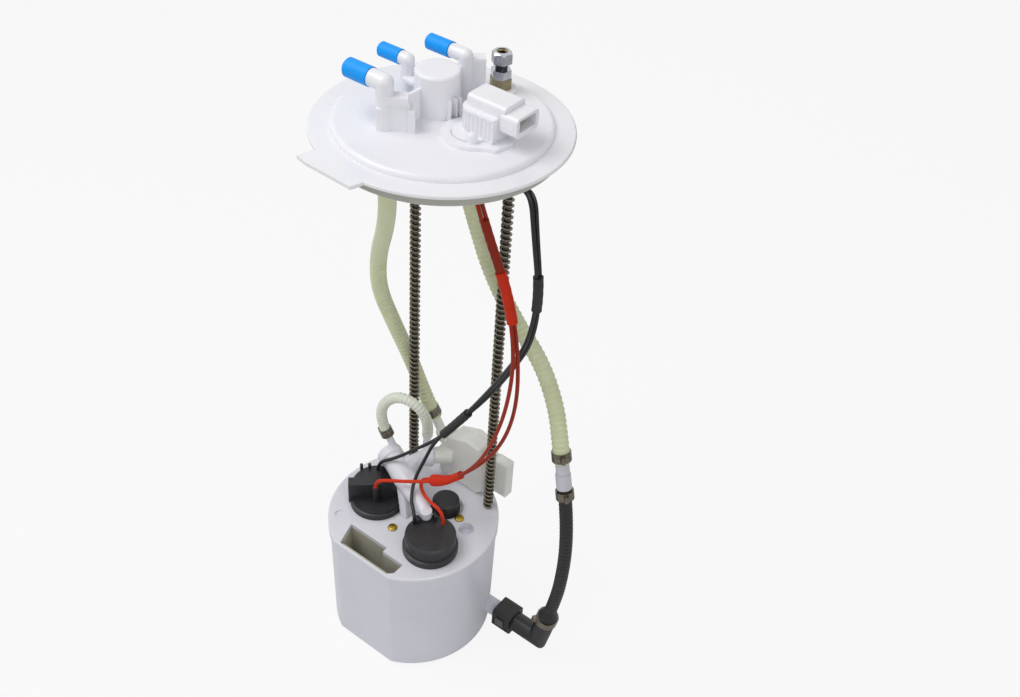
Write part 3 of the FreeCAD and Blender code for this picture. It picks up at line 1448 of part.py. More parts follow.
def make_fitting():
    """Metal vent fitting: brass hex base, bright nut, dark neck and hex head."""
    x = size("fitting_x")
    y = size("fitting_y")
    low = size("flange_rim_z") + size("plateau_rise") + 2
    bore = size("fitting_bore")
    base = hexagon(x, y, low, low + 6.5, size("fitting_hex"))
    base = base.fuse(rod(x, y, low - 9, low, bore)).removeSplitter()
    nut = hexagon(x, y, low + 6.5, low + 11.7, 6.2)
    neck = rod(x, y, low + 11.7, low + 15.7, 3.6)
    head_hex = size("fitting_head_hex")
    head = hexagon(x, y, low + 15.7, low + 22.7, head_hex)
    cone = Part.makeCone(head_hex + 2.2, head_hex - 1.4, 3.8, Vector(x, y, low + 18.9))
    cone = cone.fuse(rod(x, y, low + 15, low + 19.0, head_hex + 2))
    head = head.common(cone).removeSplitter()
    hole = rod(x, y, low - 10, low + 15.7, 1.6)
    liner_hole = rod(x, y, low + 15.6, low + 22.8, bore + 0.8)
    liner = rod(x, y, low + 15.7, low + 21.7, bore + 0.8)
    way = rod(x, y, low + 15, low + 23, bore)
    plain("fitting_base", base.cut(hole))
    plain("fitting_nut", nut.cut(hole))
    plain("fitting_neck", neck.cut(hole))
    plain("fitting_head", head.cut(liner_hole))
    plain("fitting_liner", liner.cut(way))


# Wires and their sleeves

def make_wires():
    radius = size("wire_radius")
    for label, trunk, branch, side in (("red_wire_left", RED_TRUNK, RED_TO_LEFT, -1),
                                       ("red_wire_front", RED_TRUNK, RED_TO_FRONT, 1),
                                       ("black_wire_left", BLACK_TRUNK, BLACK_TO_LEFT, 1),
                                       ("black_wire_front", BLACK_TRUNK, BLACK_TO_FRONT, -1)):
        points = moved(trunk, PAIR_STEP * side) + branch
        plain(label, tube(points, radius, label))


def sleeve_path(edges, corner, before, after):
    """The arc at one corner of a route, with short straight pieces beside it."""
    arc = edges[2 * corner - 1]
    path = [arc]
    if before:
        run = edges[2 * corner - 2]
        way = (run.Vertexes[1].Point - run.Vertexes[0].Point).normalize()
        path.insert(0, Part.LineSegment(run.Vertexes[1].Point - way * before, run.Vertexes[1].Point).toShape())
    if after:
        run = edges[2 * corner]
        way = (run.Vertexes[1].Point - run.Vertexes[0].Point).normalize()
        path.append(Part.LineSegment(run.Vertexes[0].Point, run.Vertexes[0].Point + way * after).toShape())
    return path


def make_sleeves():
    """Loose sleeves that hold each pair of wires together, at two places."""
    outer = size("sleeve_radius")
    inner = size("sleeve_bore")
    for colour, trunk, places in (("red", RED_TRUNK, ((3, 0, 0), (8, 11, 1.5))),
                                  ("black", BLACK_TRUNK, ((6, 0, 0), (10, 12, 6)))):
        edges = route_wire(trunk, colour + " trunk").Edges
        rings = []
        for corner, before, after in places:
            path = sleeve_path(edges, corner, before, after)
            first = path[0]
            start = first.valueAt(first.FirstParameter)
            way = first.tangentAt(first.FirstParameter)
            solids = []
            for radius in (outer, inner):
                ring = Part.Wire([Part.Circle(start, way, radius).toShape()])
                solids.append(Part.Wire(path).makePipeShell([ring], True, False))
            rings.append(solids[0].cut(solids[1]))
        plain(colour + "_sleeves", Part.makeCompound(rings))


make_bucket()
make_inlet_valve()
make_cover()
make_screws()
make_carrier()
make_front_cap(make_pump("front", "front_pump_x", "front_pump_y", "cap_height"))
make_left_cap(make_pump("left", "left_pump_x", "left_pump_y", "tall_cap_height"))
make_relief_valve()
make_manifold()
make_filter_housing()
make_hoses()
make_clamps()
make_coupler()
make_elbow()
make_rods()
make_springs()
make_flange()
make_shipping_caps()
make_connector()
make_fitting()
make_wires()
make_sleeves()
doc.recompute()

os.makedirs("parts", exist_ok=True)
for feature in doc.Objects:
    if "Invalid" in feature.State or "Error" in feature.State:
        raise RuntimeError("failed feature: %s of %s" % (feature.Name, feature.Label))
for label, feature in parts.items():
    if feature.Shape.isNull() or not feature.Shape.isValid():
        raise RuntimeError("bad shape: " + label)
for label, feature in parts.items():
    feature.Shape.exportStep("parts/%s.step" % label)
print("wrote", len(parts), "parts")
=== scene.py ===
# %% [markdown]
# Fuel pump module. A white tank flange rides on two sprung rods above a white
# reservoir bucket with two pumps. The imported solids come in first, as a frame
# that stays where it is. This script dresses them and makes what solids can't
# show well: ribbed hoses, coil springs, wires, rounded mouldings, screw heads
# and the look of each material.

# %% Load the frame
import bmesh
import bpy
import math
from mathutils import Matrix, Vector


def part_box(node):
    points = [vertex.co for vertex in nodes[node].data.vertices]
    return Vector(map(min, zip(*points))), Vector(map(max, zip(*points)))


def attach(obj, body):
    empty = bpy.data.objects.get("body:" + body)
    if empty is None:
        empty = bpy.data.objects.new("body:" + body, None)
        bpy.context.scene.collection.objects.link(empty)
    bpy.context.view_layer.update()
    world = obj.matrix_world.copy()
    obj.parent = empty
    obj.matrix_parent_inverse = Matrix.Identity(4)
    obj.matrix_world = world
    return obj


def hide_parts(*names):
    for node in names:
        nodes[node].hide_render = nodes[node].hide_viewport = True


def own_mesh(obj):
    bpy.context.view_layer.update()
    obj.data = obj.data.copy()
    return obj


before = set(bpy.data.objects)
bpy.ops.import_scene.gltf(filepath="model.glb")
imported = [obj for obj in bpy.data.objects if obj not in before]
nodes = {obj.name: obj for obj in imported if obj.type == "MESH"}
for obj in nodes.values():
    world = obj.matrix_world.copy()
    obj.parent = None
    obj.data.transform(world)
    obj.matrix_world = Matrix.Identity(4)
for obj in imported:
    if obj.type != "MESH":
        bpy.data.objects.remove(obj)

scene = bpy.context.scene
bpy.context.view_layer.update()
print("nodes:", len(nodes))

# %% [markdown]
# The camera stands where the photographer stood: in front and to the right, well
# above the flange and so close that the flange looks larger than the bucket. It
# could be set by eye, but a fit to points of the photograph gives its place, its
# three directions and its lens, so the two pictures lie on each other.

# %% The camera
CAMERA_PLACE = Vector((0.374873, -0.436623, 0.753634))
CAMERA_RIGHT = Vector((0.79402, 0.60509, 0.05826))
CAMERA_DOWN = Vector((0.42673, -0.48656, -0.76234))
CAMERA_AHEAD = Vector((-0.43294, 0.63017, -0.64455))
FOCAL_PIXELS = 1153.0
FRAME_WIDTH = 1020.0

camera_data = bpy.data.cameras.new("camera")
camera = bpy.data.objects.new("camera", camera_data)
scene.collection.objects.link(camera)
turn = Matrix((CAMERA_RIGHT, -CAMERA_DOWN, -CAMERA_AHEAD)).transposed()
camera.matrix_world = Matrix.Translation(CAMERA_PLACE) @ turn.to_4x4()
camera_data.sensor_width = 36.0
camera_data.lens = FOCAL_PIXELS * camera_data.sensor_width / FRAME_WIDTH
camera_data.clip_start = 0.01
scene.camera = camera
print("lens %.2f mm" % camera_data.lens)

# %% [markdown]
# Every finish is a small tree of nodes. One function adds a node with its
# settings and links, and one turns a hex colour, as a paint chart gives it, into
# the linear numbers that the shader wants. Patterns read the place on the piece
# in metres, so a noise scale of 1000 means grains of about 1 mm.

# %% Helpers for materials


def linear(hex_colour):
    """Turn an sRGB hex value into linear red, green, blue and alpha."""
    parts = [int(hex_colour[i:i + 2], 16) / 255 for i in (1, 3, 5)]
    curve = [c / 12.92 if c <= 0.04045 else ((c + 0.055) / 1.055) ** 2.4 for c in parts]
    return (*curve, 1.0)


def add(tree, kind, inputs=None, **settings):
    """Add a node, set its properties, and set or link its inputs."""
    node = tree.nodes.new(kind)
    for name, value in settings.items():
        setattr(node, name, value)
    for key, value in (inputs or {}).items():
        if isinstance(value, bpy.types.NodeSocket):
            tree.links.new(value, node.inputs[key])
        else:
            node.inputs[key].default_value = value
    return node


def start_material(name):
    """A new material with an empty tree."""
    material = bpy.data.materials.new(name)
    material.use_nodes = True
    tree = material.node_tree
    tree.nodes.clear()
    return material, tree


def finish_material(tree, inputs):
    """Put the shader and the output at the end of a tree."""
    shader = add(tree, "ShaderNodeBsdfPrincipled", inputs)
    add(tree, "ShaderNodeOutputMaterial", {"Surface": shader.outputs["BSDF"]})


def object_point(tree):
    """The place on the piece, in metres, so patterns keep their real size."""
    return add(tree, "ShaderNodeTexCoord").outputs["Object"]


def two_tone(tree, factor, low, high):
    """Blend two hex colours by a factor socket."""
    return add(tree, "ShaderNodeMix", {0: factor, 6: linear(low), 7: linear(high)},
               data_type="RGBA").outputs[2]


def spread(tree, value, low, high):
    """Stretch a 0 to 1 value to run from low to high."""
    return add(tree, "ShaderNodeMapRange", {"Value": value, "To Min": low, "To Max": high},
               clamp=True).outputs["Result"]


print("linear value of mid grey: %.3f" % linear("#808080")[0])

# %% [markdown]
# Moulded acetal, the milky white plastic of the flange and the bucket. It is a
# little translucent, so light bleeds into its edges, and its mould was polished
# only in places: broad patches are slightly duller. Plain white would look like
# paper, so a share of subsurface light and two noises make it: one for the
# patches and one, as a faint bump, for the grain of the mould's skin. The skirt
# that hangs in the tank under the rim and the inside of the window well get
# painted shade: a mask on the place in the piece greys them without a cut in
# the mesh. The bucket's white is a little darker than the flange's, also
# painted shade.

# %% White acetal
PATCH_SCALE = 22.0     # a dull patch is about 45 mm wide
GRAIN_SCALE = 900.0    # a grain is about 1 mm wide, coarser than the real one, to show at all
GRAIN_HEIGHT = 0.0003
GLOSS_SPREAD = 0.14


def milky_plastic(name, shade, deep, gloss, tint=None):
    """White acetal. A tint, painted shade, is a hex colour and a function that makes its mask."""
    material, tree = start_material(name)
    point = object_point(tree)
    clouds = add(tree, "ShaderNodeTexNoise", {"Vector": point, "Scale": PATCH_SCALE,
                                                "Detail": 3.0})
    skin = add(tree, "ShaderNodeTexNoise", {"Vector": point, "Scale": GRAIN_SCALE, "Detail": 2.0})
    bump = add(tree, "ShaderNodeBump", {"Height": skin.outputs["Fac"], "Strength": 0.04,
                                        "Distance": GRAIN_HEIGHT})
    colour = two_tone(tree, clouds.outputs["Fac"], deep, shade)
    if tint:
        tint_colour, mask_of = tint
        colour = add(tree, "ShaderNodeMix", {0: mask_of(tree, point), 6: colour,
                                             7: linear(tint_colour)}, data_type="RGBA").outputs[2]
    finish_material(tree, {
        "Base Color": colour,
        "Roughness": spread(tree, clouds.outputs["Fac"], gloss, gloss + GLOSS_SPREAD),
        "Subsurface Weight": 0.25,
        "Subsurface Radius": (1.0, 0.95, 0.85),
        "Subsurface Scale": 0.004,
        "IOR": 1.48,
        "Normal": bump.outputs["Normal"]})
    return material


def below(tree, point, level, soft):
    """A mask that is 1 below a height and 0 above it."""
    height = add(tree, "ShaderNodeSeparateXYZ", {"Vector": point}).outputs["Z"]
    return add(tree, "ShaderNodeMapRange", {
        "Value": height, "From Min": level - soft, "From Max": level + soft,
        "To Min": 1.0, "To Max": 0.0}, clamp=True).outputs["Result"]


SKIRT_TOP = 0.4283
SKIRT_EDGE = 0.0008


def skirt_shade_mask(tree, point):
    """The part of the flange that hangs in the tank, below the seal, where shade under the rim is
    painted.
    """
    return below(tree, point, SKIRT_TOP, SKIRT_EDGE)


WELL_MIDDLE = (-0.0005, -0.047, 0.06)
WELL_HALF = (0.0278, 0.0108, 0.0425)


def well_shade_mask(tree, point):
    """The inside of the window well, which gets painted shade."""
    away = add(tree, "ShaderNodeVectorMath", {0: point, 1: WELL_MIDDLE}, operation="SUBTRACT")
    share = add(tree, "ShaderNodeVectorMath", {0: away.outputs[0], 1: WELL_HALF},
                operation="DIVIDE")
    size = add(tree, "ShaderNodeVectorMath", {0: share.outputs[0]}, operation="ABSOLUTE")
    parts = add(tree, "ShaderNodeSeparateXYZ", {"Vector": size.outputs[0]}).outputs
    wide = add(tree, "ShaderNodeMath", {0: parts["X"], 1: parts["Y"]}, operation="MAXIMUM")
    most = add(tree, "ShaderNodeMath", {0: wide.outputs[0], 1: parts["Z"]}, operation="MAXIMUM")
    return add(tree, "ShaderNodeMath", {0: most.outputs[0], 1: 1.0},
               operation="LESS_THAN").outputs[0]


# The flange's grey-beige tint on the skirt is painted shade under the rim.
flange_white = milky_plastic("flange_acetal", "#F6F6FA", "#EEEEF4", 0.16, ("#B4B3AB", skirt_shade_mask))
stand_white = milky_plastic("stand_acetal", "#F6F6FA", "#EEEEF4", 0.2)
# The bucket's white, a little darker than the flange's, is painted shade.
bucket_white_shaded = milky_plastic("bucket_acetal_shaded", "#E6E7EE", "#D8D9E2", 0.24)
# The cover's taupe tint inside the window well is painted shade.
cover_white = milky_plastic("cover_acetal", "#EEEEF5", "#E2E2EB", 0.22, ("#C4C1B0", well_shade_mask))
fitting_white = milky_plastic("manifold_acetal", "#EEEEF5", "#E2E2EB", 0.26)
coupler_white = milky_plastic("coupler_acetal", "#D6D6DE", "#C8C8D1", 0.3)
print("skirt tinted below %.1f mm" % (1000 * SKIRT_TOP))

# %% [markdown]
# Natural nylon, without any dye. The fuel hoses are extruded from it and have
# turned greenish, and the filter housing is moulded from it and stayed nearly
# white. Glass would be far too clear for it, so only a small transmission share
# lets light through, and a wide subsurface share scatters the rest.

# %% Natural nylon
NYLON_PATCH_SCALE = 60.0    # a patch is about 17 mm wide


def natural_nylon(name, shade, deep, clear):
    material, tree = start_material(name)
    point = object_point(tree)
    clouds = add(tree, "ShaderNodeTexNoise", {"Vector": point, "Scale": NYLON_PATCH_SCALE,
                                                "Detail": 2.0})
    finish_material(tree, {
        "Base Color": two_tone(tree, clouds.outputs["Fac"], deep, shade),
        "Roughness": spread(tree, clouds.outputs["Fac"], 0.28, 0.42),
        "Transmission Weight": clear,
        "Subsurface Weight": 0.3,
        "Subsurface Radius": (1.0, 1.0, 0.7),
        "Subsurface Scale": 0.004,
        "IOR": 1.45})
    return material


housing_nylon = natural_nylon("housing_nylon", "#F8F9F4", "#EDEFE8", 0.06)
hose_nylon = natural_nylon("hose_nylon", "#E6EAC6", "#D2D8AE", 0.05)
loop_nylon = natural_nylon("loop_nylon", "#EDF1E4", "#DFE5D4", 0.06)
print("nylon patches: %.0f mm" % (1000 / NYLON_PATCH_SCALE))

# %% [markdown]
# Dyed plastics and rubber are even in colour, and only their gloss varies from
# place to place, so one noise turns both. Polyethylene caps are soft and waxy.
# The pump caps' glass filled nylon has dull and shiny spots. Vinyl sleeves are
# dull, and rubber is dullest of all. The grain is a noise scale: 200 means
# patches of about 5 mm, 900 means about 1 mm.

# %% Dyed plastics and rubber


def even_plastic(name, shade, deep, low_gloss, high_gloss, grain, sheen=0.5):
    """A plastic of one colour. Sheen is how strongly it mirrors, 0.5 as usual."""
    material, tree = start_material(name)
    point = object_point(tree)
    clouds = add(tree, "ShaderNodeTexNoise", {"Vector": point, "Scale": grain, "Detail": 4.0})
    finish_material(tree, {
        "Base Color": two_tone(tree, clouds.outputs["Fac"], deep, shade),
        "Roughness": spread(tree, clouds.outputs["Fac"], low_gloss, high_gloss),
        "Specular IOR Level": sheen})
    return material


cap_blue = even_plastic("cap_polyethylene", "#0EA4FF", "#0698F6", 0.42, 0.56, 300.0, 0.3)
pump_black = even_plastic("pump_nylon", "#2A2A2E", "#17171A", 0.32, 0.6, 160.0)
latch_black = even_plastic("latch_nylon", "#1C1C1E", "#0E0E10", 0.3, 0.5, 200.0)
hose_black = even_plastic("hose_black_nylon", "#141416", "#09090A", 0.35, 0.55, 200.0)
button_grey = even_plastic("button_nylon", "#63665F", "#50534D", 0.4, 0.55, 300.0)
rubber_black = even_plastic("seal_rubber", "#1E1E1F", "#121213", 0.6, 0.8, 300.0)
wrap_red = even_plastic("wrap_red_vinyl", "#982806", "#821D03", 0.4, 0.55, 200.0, 0.25)
sleeve_red = even_plastic("sleeve_red_vinyl", "#DC3402", "#C42100", 0.4, 0.55, 200.0, 0.25)
wire_black = even_plastic("wire_black_vinyl", "#17171A", "#0B0B0D", 0.25, 0.4, 200.0)
sleeve_black = even_plastic("sleeve_black_vinyl", "#202023", "#131315", 0.4, 0.55, 200.0)
mesh_grey = even_plastic("strainer_nylon", "#D8D6CC", "#C6C4BA", 0.6, 0.8, 900.0)
print("materials so far:", len(bpy.data.materials))

# %% [markdown]
# The red wires are soft vinyl. Their long run is a darker brown red, and the
# short ends by the pumps are bright red. Two materials would need a cut in each
# wire, so one material turns its colour with the height.

# %% Red vinyl
DARKENING_FOOT = 0.162
DARKENING_EDGE = 0.012


# A red that is darker above a height and brighter below it.
def height_toned_vinyl(name, darkened, brighter, level, soft):
    material, tree = start_material(name)
    point = object_point(tree)
    spots = add(tree, "ShaderNodeTexNoise", {"Vector": point, "Scale": 200.0, "Detail": 3.0})
    darker = add(tree, "ShaderNodeMix", {0: below(tree, point, level, soft), 6: linear(darkened),
                                         7: linear(brighter)}, data_type="RGBA").outputs[2]
    shade = spread(tree, spots.outputs["Fac"], 0.88, 1.06)
    colour = add(tree, "ShaderNodeVectorMath", {0: darker, 1: (1, 1, 1), "Scale": shade},
                 operation="SCALE").outputs[0]
    finish_material(tree, {
        "Base Color": colour,
        "Roughness": spread(tree, spots.outputs["Fac"], 0.34, 0.48),
        "Specular IOR Level": 0.3})
    return material


wire_red = height_toned_vinyl("wire_red_vinyl", "#9E2604", "#D83002", DARKENING_FOOT, DARKENING_EDGE)
print("red wires stained above %.0f mm" % (1000 * DARKENING_FOOT))

# %% [markdown]
# Metals. Spring wire is oil tempered and brown grey. The rods are painted a dark
# grey as the shade inside the coils. The clamps are dark bronze, and bright
# specks in their colour are painted glints. The vent fitting is zinc plated with
# a brass liner, and the screws have the yellow tint of passivated zinc. Each is a
# full metal, whose colour is what it mirrors, and fine marks from drawing or
# turning vary both the colour and the gloss.

# %% Metals


def metal(name, shade, deep, low_gloss, high_gloss, grain):
    """A metal. The grain is the noise scale of its marks, 400 for about 2.5 mm."""
    material, tree = start_material(name)
    point = object_point(tree)
    marks = add(tree, "ShaderNodeTexNoise", {"Vector": point, "Scale": grain, "Detail": 5.0})
    finish_material(tree, {
        "Base Color": two_tone(tree, marks.outputs["Fac"], deep, shade),
        "Metallic": 1.0,
        "Roughness": spread(tree, marks.outputs["Fac"], low_gloss, high_gloss)})
    return material


spring_metal = metal("spring_tempered_steel", "#938C7C", "#5A564C", 0.32, 0.46, 400.0)
# The rods' dark grey is painted shade, the shade inside the coils.
rod_shaded_steel = metal("rod_steel_painted_shade", "#6B675E", "#4B4842", 0.35, 0.5, 300.0)
# The clamps' bright specks on dark bronze are painted glints.
clamp_bronze_and_glints = metal("clamp_bronze_painted_glints", "#A39B8C", "#2E2A25", 0.18, 0.42, 420.0)
zinc_metal = metal("fitting_zinc_plate", "#D4D6DA", "#9A9CA2", 0.12, 0.3, 500.0)
neck_metal = metal("fitting_dark_zinc", "#4A4D53", "#26282C", 0.2, 0.4, 700.0)
brass_metal = metal("fitting_brass", "#C9B27A", "#A18C5A", 0.2, 0.4, 500.0)
tan_metal = metal("fitting_base_brass", "#A79C7E", "#857B60", 0.3, 0.45, 500.0)
screw_metal = metal("screw_yellow_zinc", "#C8B054", "#8E7A30", 0.2, 0.4, 900.0)
core_metal = metal("armature_core_steel", "#8A817A", "#5B544E", 0.4, 0.6, 300.0)
can_metal = metal("pump_can_steel", "#C4C4C2", "#A5A5A2", 0.25, 0.4, 200.0)
print("materials:", len(bpy.data.materials))

# %% [markdown]
# The solids whose shape is right keep it and only get their finish. The table
# names each such piece and its finish. The pieces that aren't in it are made
# again further down and bring their own.

# %% Dress the solids
FINISHES = {
    "tank_flange": flange_white, "connector_body": stand_white,
    "bucket": bucket_white_shaded, "bucket_cover": cover_white, "pump_carrier": bucket_white_shaded,
    "hose_coupler": coupler_white,
    "shipping_cap_front": cap_blue, "shipping_cap_middle": cap_blue, "shipping_cap_rear": cap_blue,
    "front_pump_cap": pump_black, "left_pump_cap": pump_black, "relief_valve": pump_black,
    "quick_connector": latch_black, "release_button": button_grey,
    "inlet_valve": rubber_black, "front_isolator": rubber_black, "left_isolator": rubber_black,
    "connector_seal": rubber_black,
    "front_impeller": button_grey, "left_impeller": button_grey,
    "front_strainer": mesh_grey, "left_strainer": mesh_grey,
    "rod_clips": spring_metal,
    "guide_rod_left": rod_shaded_steel, "guide_rod_right": rod_shaded_steel,
    "left_hose_clamp": clamp_bronze_and_glints, "right_hose_clamp": clamp_bronze_and_glints, "coupler_clamp": clamp_bronze_and_glints,
    "cuff_clamp": clamp_bronze_and_glints, "loop_hose_clamp": clamp_bronze_and_glints,
    "front_pump_can": can_metal, "left_pump_can": can_metal,
    "front_armature": core_metal, "left_armature": core_metal,
    "connector_terminals": brass_metal, "fitting_liner": brass_metal, "fitting_base": tan_metal,
    "fitting_head": zinc_metal, "fitting_nut": zinc_metal, "fitting_neck": neck_metal,
}
for name, finish in FINISHES.items():
    nodes[name].data.materials.clear()
    nodes[name].data.materials.append(finish)
print("dressed:", len(FINISHES))

# %% [markdown]
# Hoses and wires follow the corner points of the solids, moved by a few
# millimetres where the photograph shows it, as one smooth NURBS line each.
# Geometry Nodes sweep a round section along that line. Its radius swells and
# shrinks along the length for a ribbed hose, and stays the same for a wire. Ribs
# could also be rings put one by one on a tube, but a radius that changes makes
# one closed skin that bends with the line. A cuff is a second radius at an end,
# and the larger of the two counts.

# %% A tree that makes hoses and wires
RIB_FLANK = 0.6    # where a rib's flank, a piece of a cosine wave, turns into crest or groove


def new_input(tree, name, kind, value=None):
    """Give a tree a named input."""
    socket = tree.interface.new_socket(name=name, in_out="INPUT", socket_type=kind)
    if value is not None:
        socket.default_value = value


def make_hose_tree():
    tree = bpy.data.node_groups.new("ribbed_hose", "GeometryNodeTree")
    new_input(tree, "Geometry", "NodeSocketGeometry")
    new_input(tree, "Radius", "NodeSocketFloat", 0.005)
    new_input(tree, "Rib Depth", "NodeSocketFloat", 0.0)
    new_input(tree, "Rib Pitch", "NodeSocketFloat", 0.004)
    new_input(tree, "Step", "NodeSocketFloat", 0.001)
    new_input(tree, "Sides", "NodeSocketInt", 24)
    new_input(tree, "Plain Start", "NodeSocketFloat", 0.01)
    new_input(tree, "Plain End", "NodeSocketFloat", 0.01)
    new_input(tree, "Start Cuff", "NodeSocketFloat", 0.0)
    new_input(tree, "Start Length", "NodeSocketFloat", 0.0)
    new_input(tree, "End Cuff", "NodeSocketFloat", 0.0)
    new_input(tree, "End Length", "NodeSocketFloat", 0.0)
    new_input(tree, "End Taper", "NodeSocketFloat", 0.001)
    new_input(tree, "Finish", "NodeSocketMaterial")
    tree.interface.new_socket(name="Geometry", in_out="OUTPUT", socket_type="NodeSocketGeometry")
    given = add(tree, "NodeGroupInput").outputs
    line = add(tree, "GeometryNodeResampleCurve", {"Curve": given["Geometry"],
                                                   "Length": given["Step"]}, mode="LENGTH")
    along = add(tree, "GeometryNodeSplineParameter").outputs["Length"]
    whole = add(tree, "GeometryNodeSplineLength").outputs["Length"]
    turns = add(tree, "ShaderNodeMath", {0: along, 1: given["Rib Pitch"]},
                operation="DIVIDE").outputs[0]
    angle = add(tree, "ShaderNodeMath", {0: turns, 1: 2 * math.pi}, operation="MULTIPLY").outputs[0]
    wave = add(tree, "ShaderNodeMath", {0: angle}, operation="COSINE").outputs[0]
    groove = add(tree, "ShaderNodeMapRange", {
        "Value": wave, "From Min": -RIB_FLANK, "From Max": RIB_FLANK,
        "To Min": 1.0, "To Max": 0.0}).outputs["Result"]
    back = add(tree, "ShaderNodeMath", {0: whole, 1: along}, operation="SUBTRACT").outputs[0]
    past_start = add(tree, "ShaderNodeMath", {0: along, 1: given["Plain Start"]},
                     operation="GREATER_THAN").outputs[0]
    before_end = add(tree, "ShaderNodeMath", {0: back, 1: given["Plain End"]},
                     operation="GREATER_THAN").outputs[0]
    ribbed = add(tree, "ShaderNodeMath", {0: past_start, 1: before_end},
                 operation="MULTIPLY").outputs[0]
    cut = add(tree, "ShaderNodeMath", {0: groove, 1: ribbed}, operation="MULTIPLY").outputs[0]
    depth = add(tree, "ShaderNodeMath", {0: cut, 1: given["Rib Depth"]},
                operation="MULTIPLY").outputs[0]
    ribs = add(tree, "ShaderNodeMath", {0: given["Radius"], 1: depth},
               operation="SUBTRACT").outputs[0]
    at_start = add(tree, "ShaderNodeMath", {0: along, 1: given["Start Length"]},
                   operation="LESS_THAN").outputs[0]
    start_cuff = add(tree, "ShaderNodeMath", {0: at_start, 1: given["Start Cuff"]},
                     operation="MULTIPLY").outputs[0]
    taper_foot = add(tree, "ShaderNodeMath", {0: given["End Length"],
                                              1: given["End Taper"]}).outputs[0]
    end_cuff = add(tree, "ShaderNodeMapRange", {
        "Value": back, "From Min": given["End Length"], "From Max": taper_foot,
        "To Min": given["End Cuff"], "To Max": 0.0}, clamp=True).outputs["Result"]
    cuffs = add(tree, "ShaderNodeMath", {0: start_cuff, 1: end_cuff},
                operation="MAXIMUM").outputs[0]
    radius = add(tree, "ShaderNodeMath", {0: ribs, 1: cuffs}, operation="MAXIMUM").outputs[0]
    ring = add(tree, "GeometryNodeCurvePrimitiveCircle", {"Resolution": given["Sides"],
                                                          "Radius": 1.0})
    skin = add(tree, "GeometryNodeCurveToMesh", {"Curve": line.outputs["Curve"],
                                                 "Profile Curve": ring.outputs["Curve"],
                                                 "Scale": radius, "Fill Caps": True})
    smooth = add(tree, "GeometryNodeSetShadeSmooth", {"Geometry": skin.outputs["Mesh"]})
    plain = add(tree, "GeometryNodeRealizeInstances", {"Geometry": smooth.outputs["Geometry"]})
    done = add(tree, "GeometryNodeSetMaterial", {"Geometry": plain.outputs["Geometry"],
                                                 "Material": given["Finish"]})
    add(tree, "NodeGroupOutput", {"Geometry": done.outputs["Geometry"]})
    return tree


hose_tree = make_hose_tree()


def set_inputs(modifier, values):
    """Set a modifier's inputs by the identifiers of their sockets."""
    for item in modifier.node_group.interface.items_tree:
        if item.item_type == "SOCKET" and item.in_out == "INPUT" and item.name in values:
            modifier[item.identifier] = values[item.name]


def nurbs_line(name, points):
    """A smooth curve that the corner points pull on, from the first to the last."""
    curve = bpy.data.curves.new(name, "CURVE")
    curve.dimensions = "3D"
    curve.resolution_u = 16
    spline = curve.splines.new("NURBS")
    spline.points.add(len(points) - 1)
    for control, point in zip(spline.points, points):
        control.co = (*point, 1.0)
    spline.order_u = 3
    spline.use_endpoint_u = True
    return linked(name, curve)


def settled_mesh(obj):
    """The mesh that an object shows now, with its modifiers applied."""
    shown = obj.evaluated_get(bpy.context.evaluated_depsgraph_get())
    return bpy.data.meshes.new_from_object(shown)


def linked(name, data):
    """A new object in the scene, at the origin."""
    obj = bpy.data.objects.new(name, data)
    scene.collection.objects.link(obj)
    return obj


def path_of(line):
    """The points that a curve runs through, from its first end to its last."""
    return [v.co.copy() for v in settled_mesh(line).vertices]


def length_of(path):
    return sum((b - a).length for a, b in zip(path, path[1:]))


def grown(name, seed, tree, settings):
    """The piece that a tree makes out of a seed object, which it takes the place of."""
    modifier = seed.modifiers.new("grow", "NODES")
    modifier.node_group = tree
    set_inputs(modifier, settings)
    mesh = settled_mesh(seed)
    bpy.data.objects.remove(seed)
    return linked(name, mesh)


def sweep(name, points, settings):
    """A swept tube along a route, and the path that it follows."""
    line = nurbs_line(name + "_line", points)
    path = path_of(line)
    return grown(name, line, hose_tree, settings), path


print("hose tree:", len(hose_tree.nodes), "nodes")

# %% [markdown]
# The hoses. Two ribbed ones carry fuel between the bucket and the flange. The
# black hose and the small loop stay with the bucket. The corner points run from
# the end where a hose leaves its barb to the far end. The left hose is plain for
# its first 100 mm, and the black one has a cuff at each end.

# %% The hoses
LEFT_HOSE = [
    (-0.0055, -0.02, 0.409), (-0.005, -0.019, 0.39), (-0.018, -0.0065, 0.357),
    (-0.0345, 0.0035, 0.322), (-0.045, 0.0145, 0.284), (-0.0468, 0.0315, 0.243),
    (-0.0405, 0.0437, 0.203), (-0.0331, 0.049, 0.173), (-0.0245, 0.052, 0.152),
]
RIGHT_HOSE = [
    (0.003, 0.0385, 0.409), (0.003, 0.0385, 0.387), (0.008, 0.0475, 0.347), (0.0205, 0.0525, 0.305),
    (0.043, 0.0525, 0.277), (0.07, 0.045, 0.263), (0.0885, 0.0375, 0.243), (0.0983, 0.0316, 0.223),
    (0.1035, 0.0292, 0.206),
]
BLACK_HOSE = [
    (0.1093, 0.0265, 0.187), (0.114, 0.0246, 0.171), (0.1185, 0.0232, 0.14), (0.1195, 0.022, 0.112),
    (0.117, 0.022, 0.078), (0.1105, 0.022, 0.046),
]
LOOP_HOSE = [
    (-0.0396, 0.0166, 0.1475), (-0.0455, 0.0145, 0.162), (-0.0435, 0.0155, 0.1795),
    (-0.031, 0.019, 0.1915), (-0.016, 0.0235, 0.187), (-0.01, 0.0275, 0.171),
    (-0.0145, 0.0315, 0.1535),
]
HOSE_TOP = 0.409
PLAIN_END = 0.009
HOSE_SIDES = 28
STEPS_IN_RIB = 6


def press_down(piece):
    """Give a piece a mesh of its own."""
    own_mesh(piece)


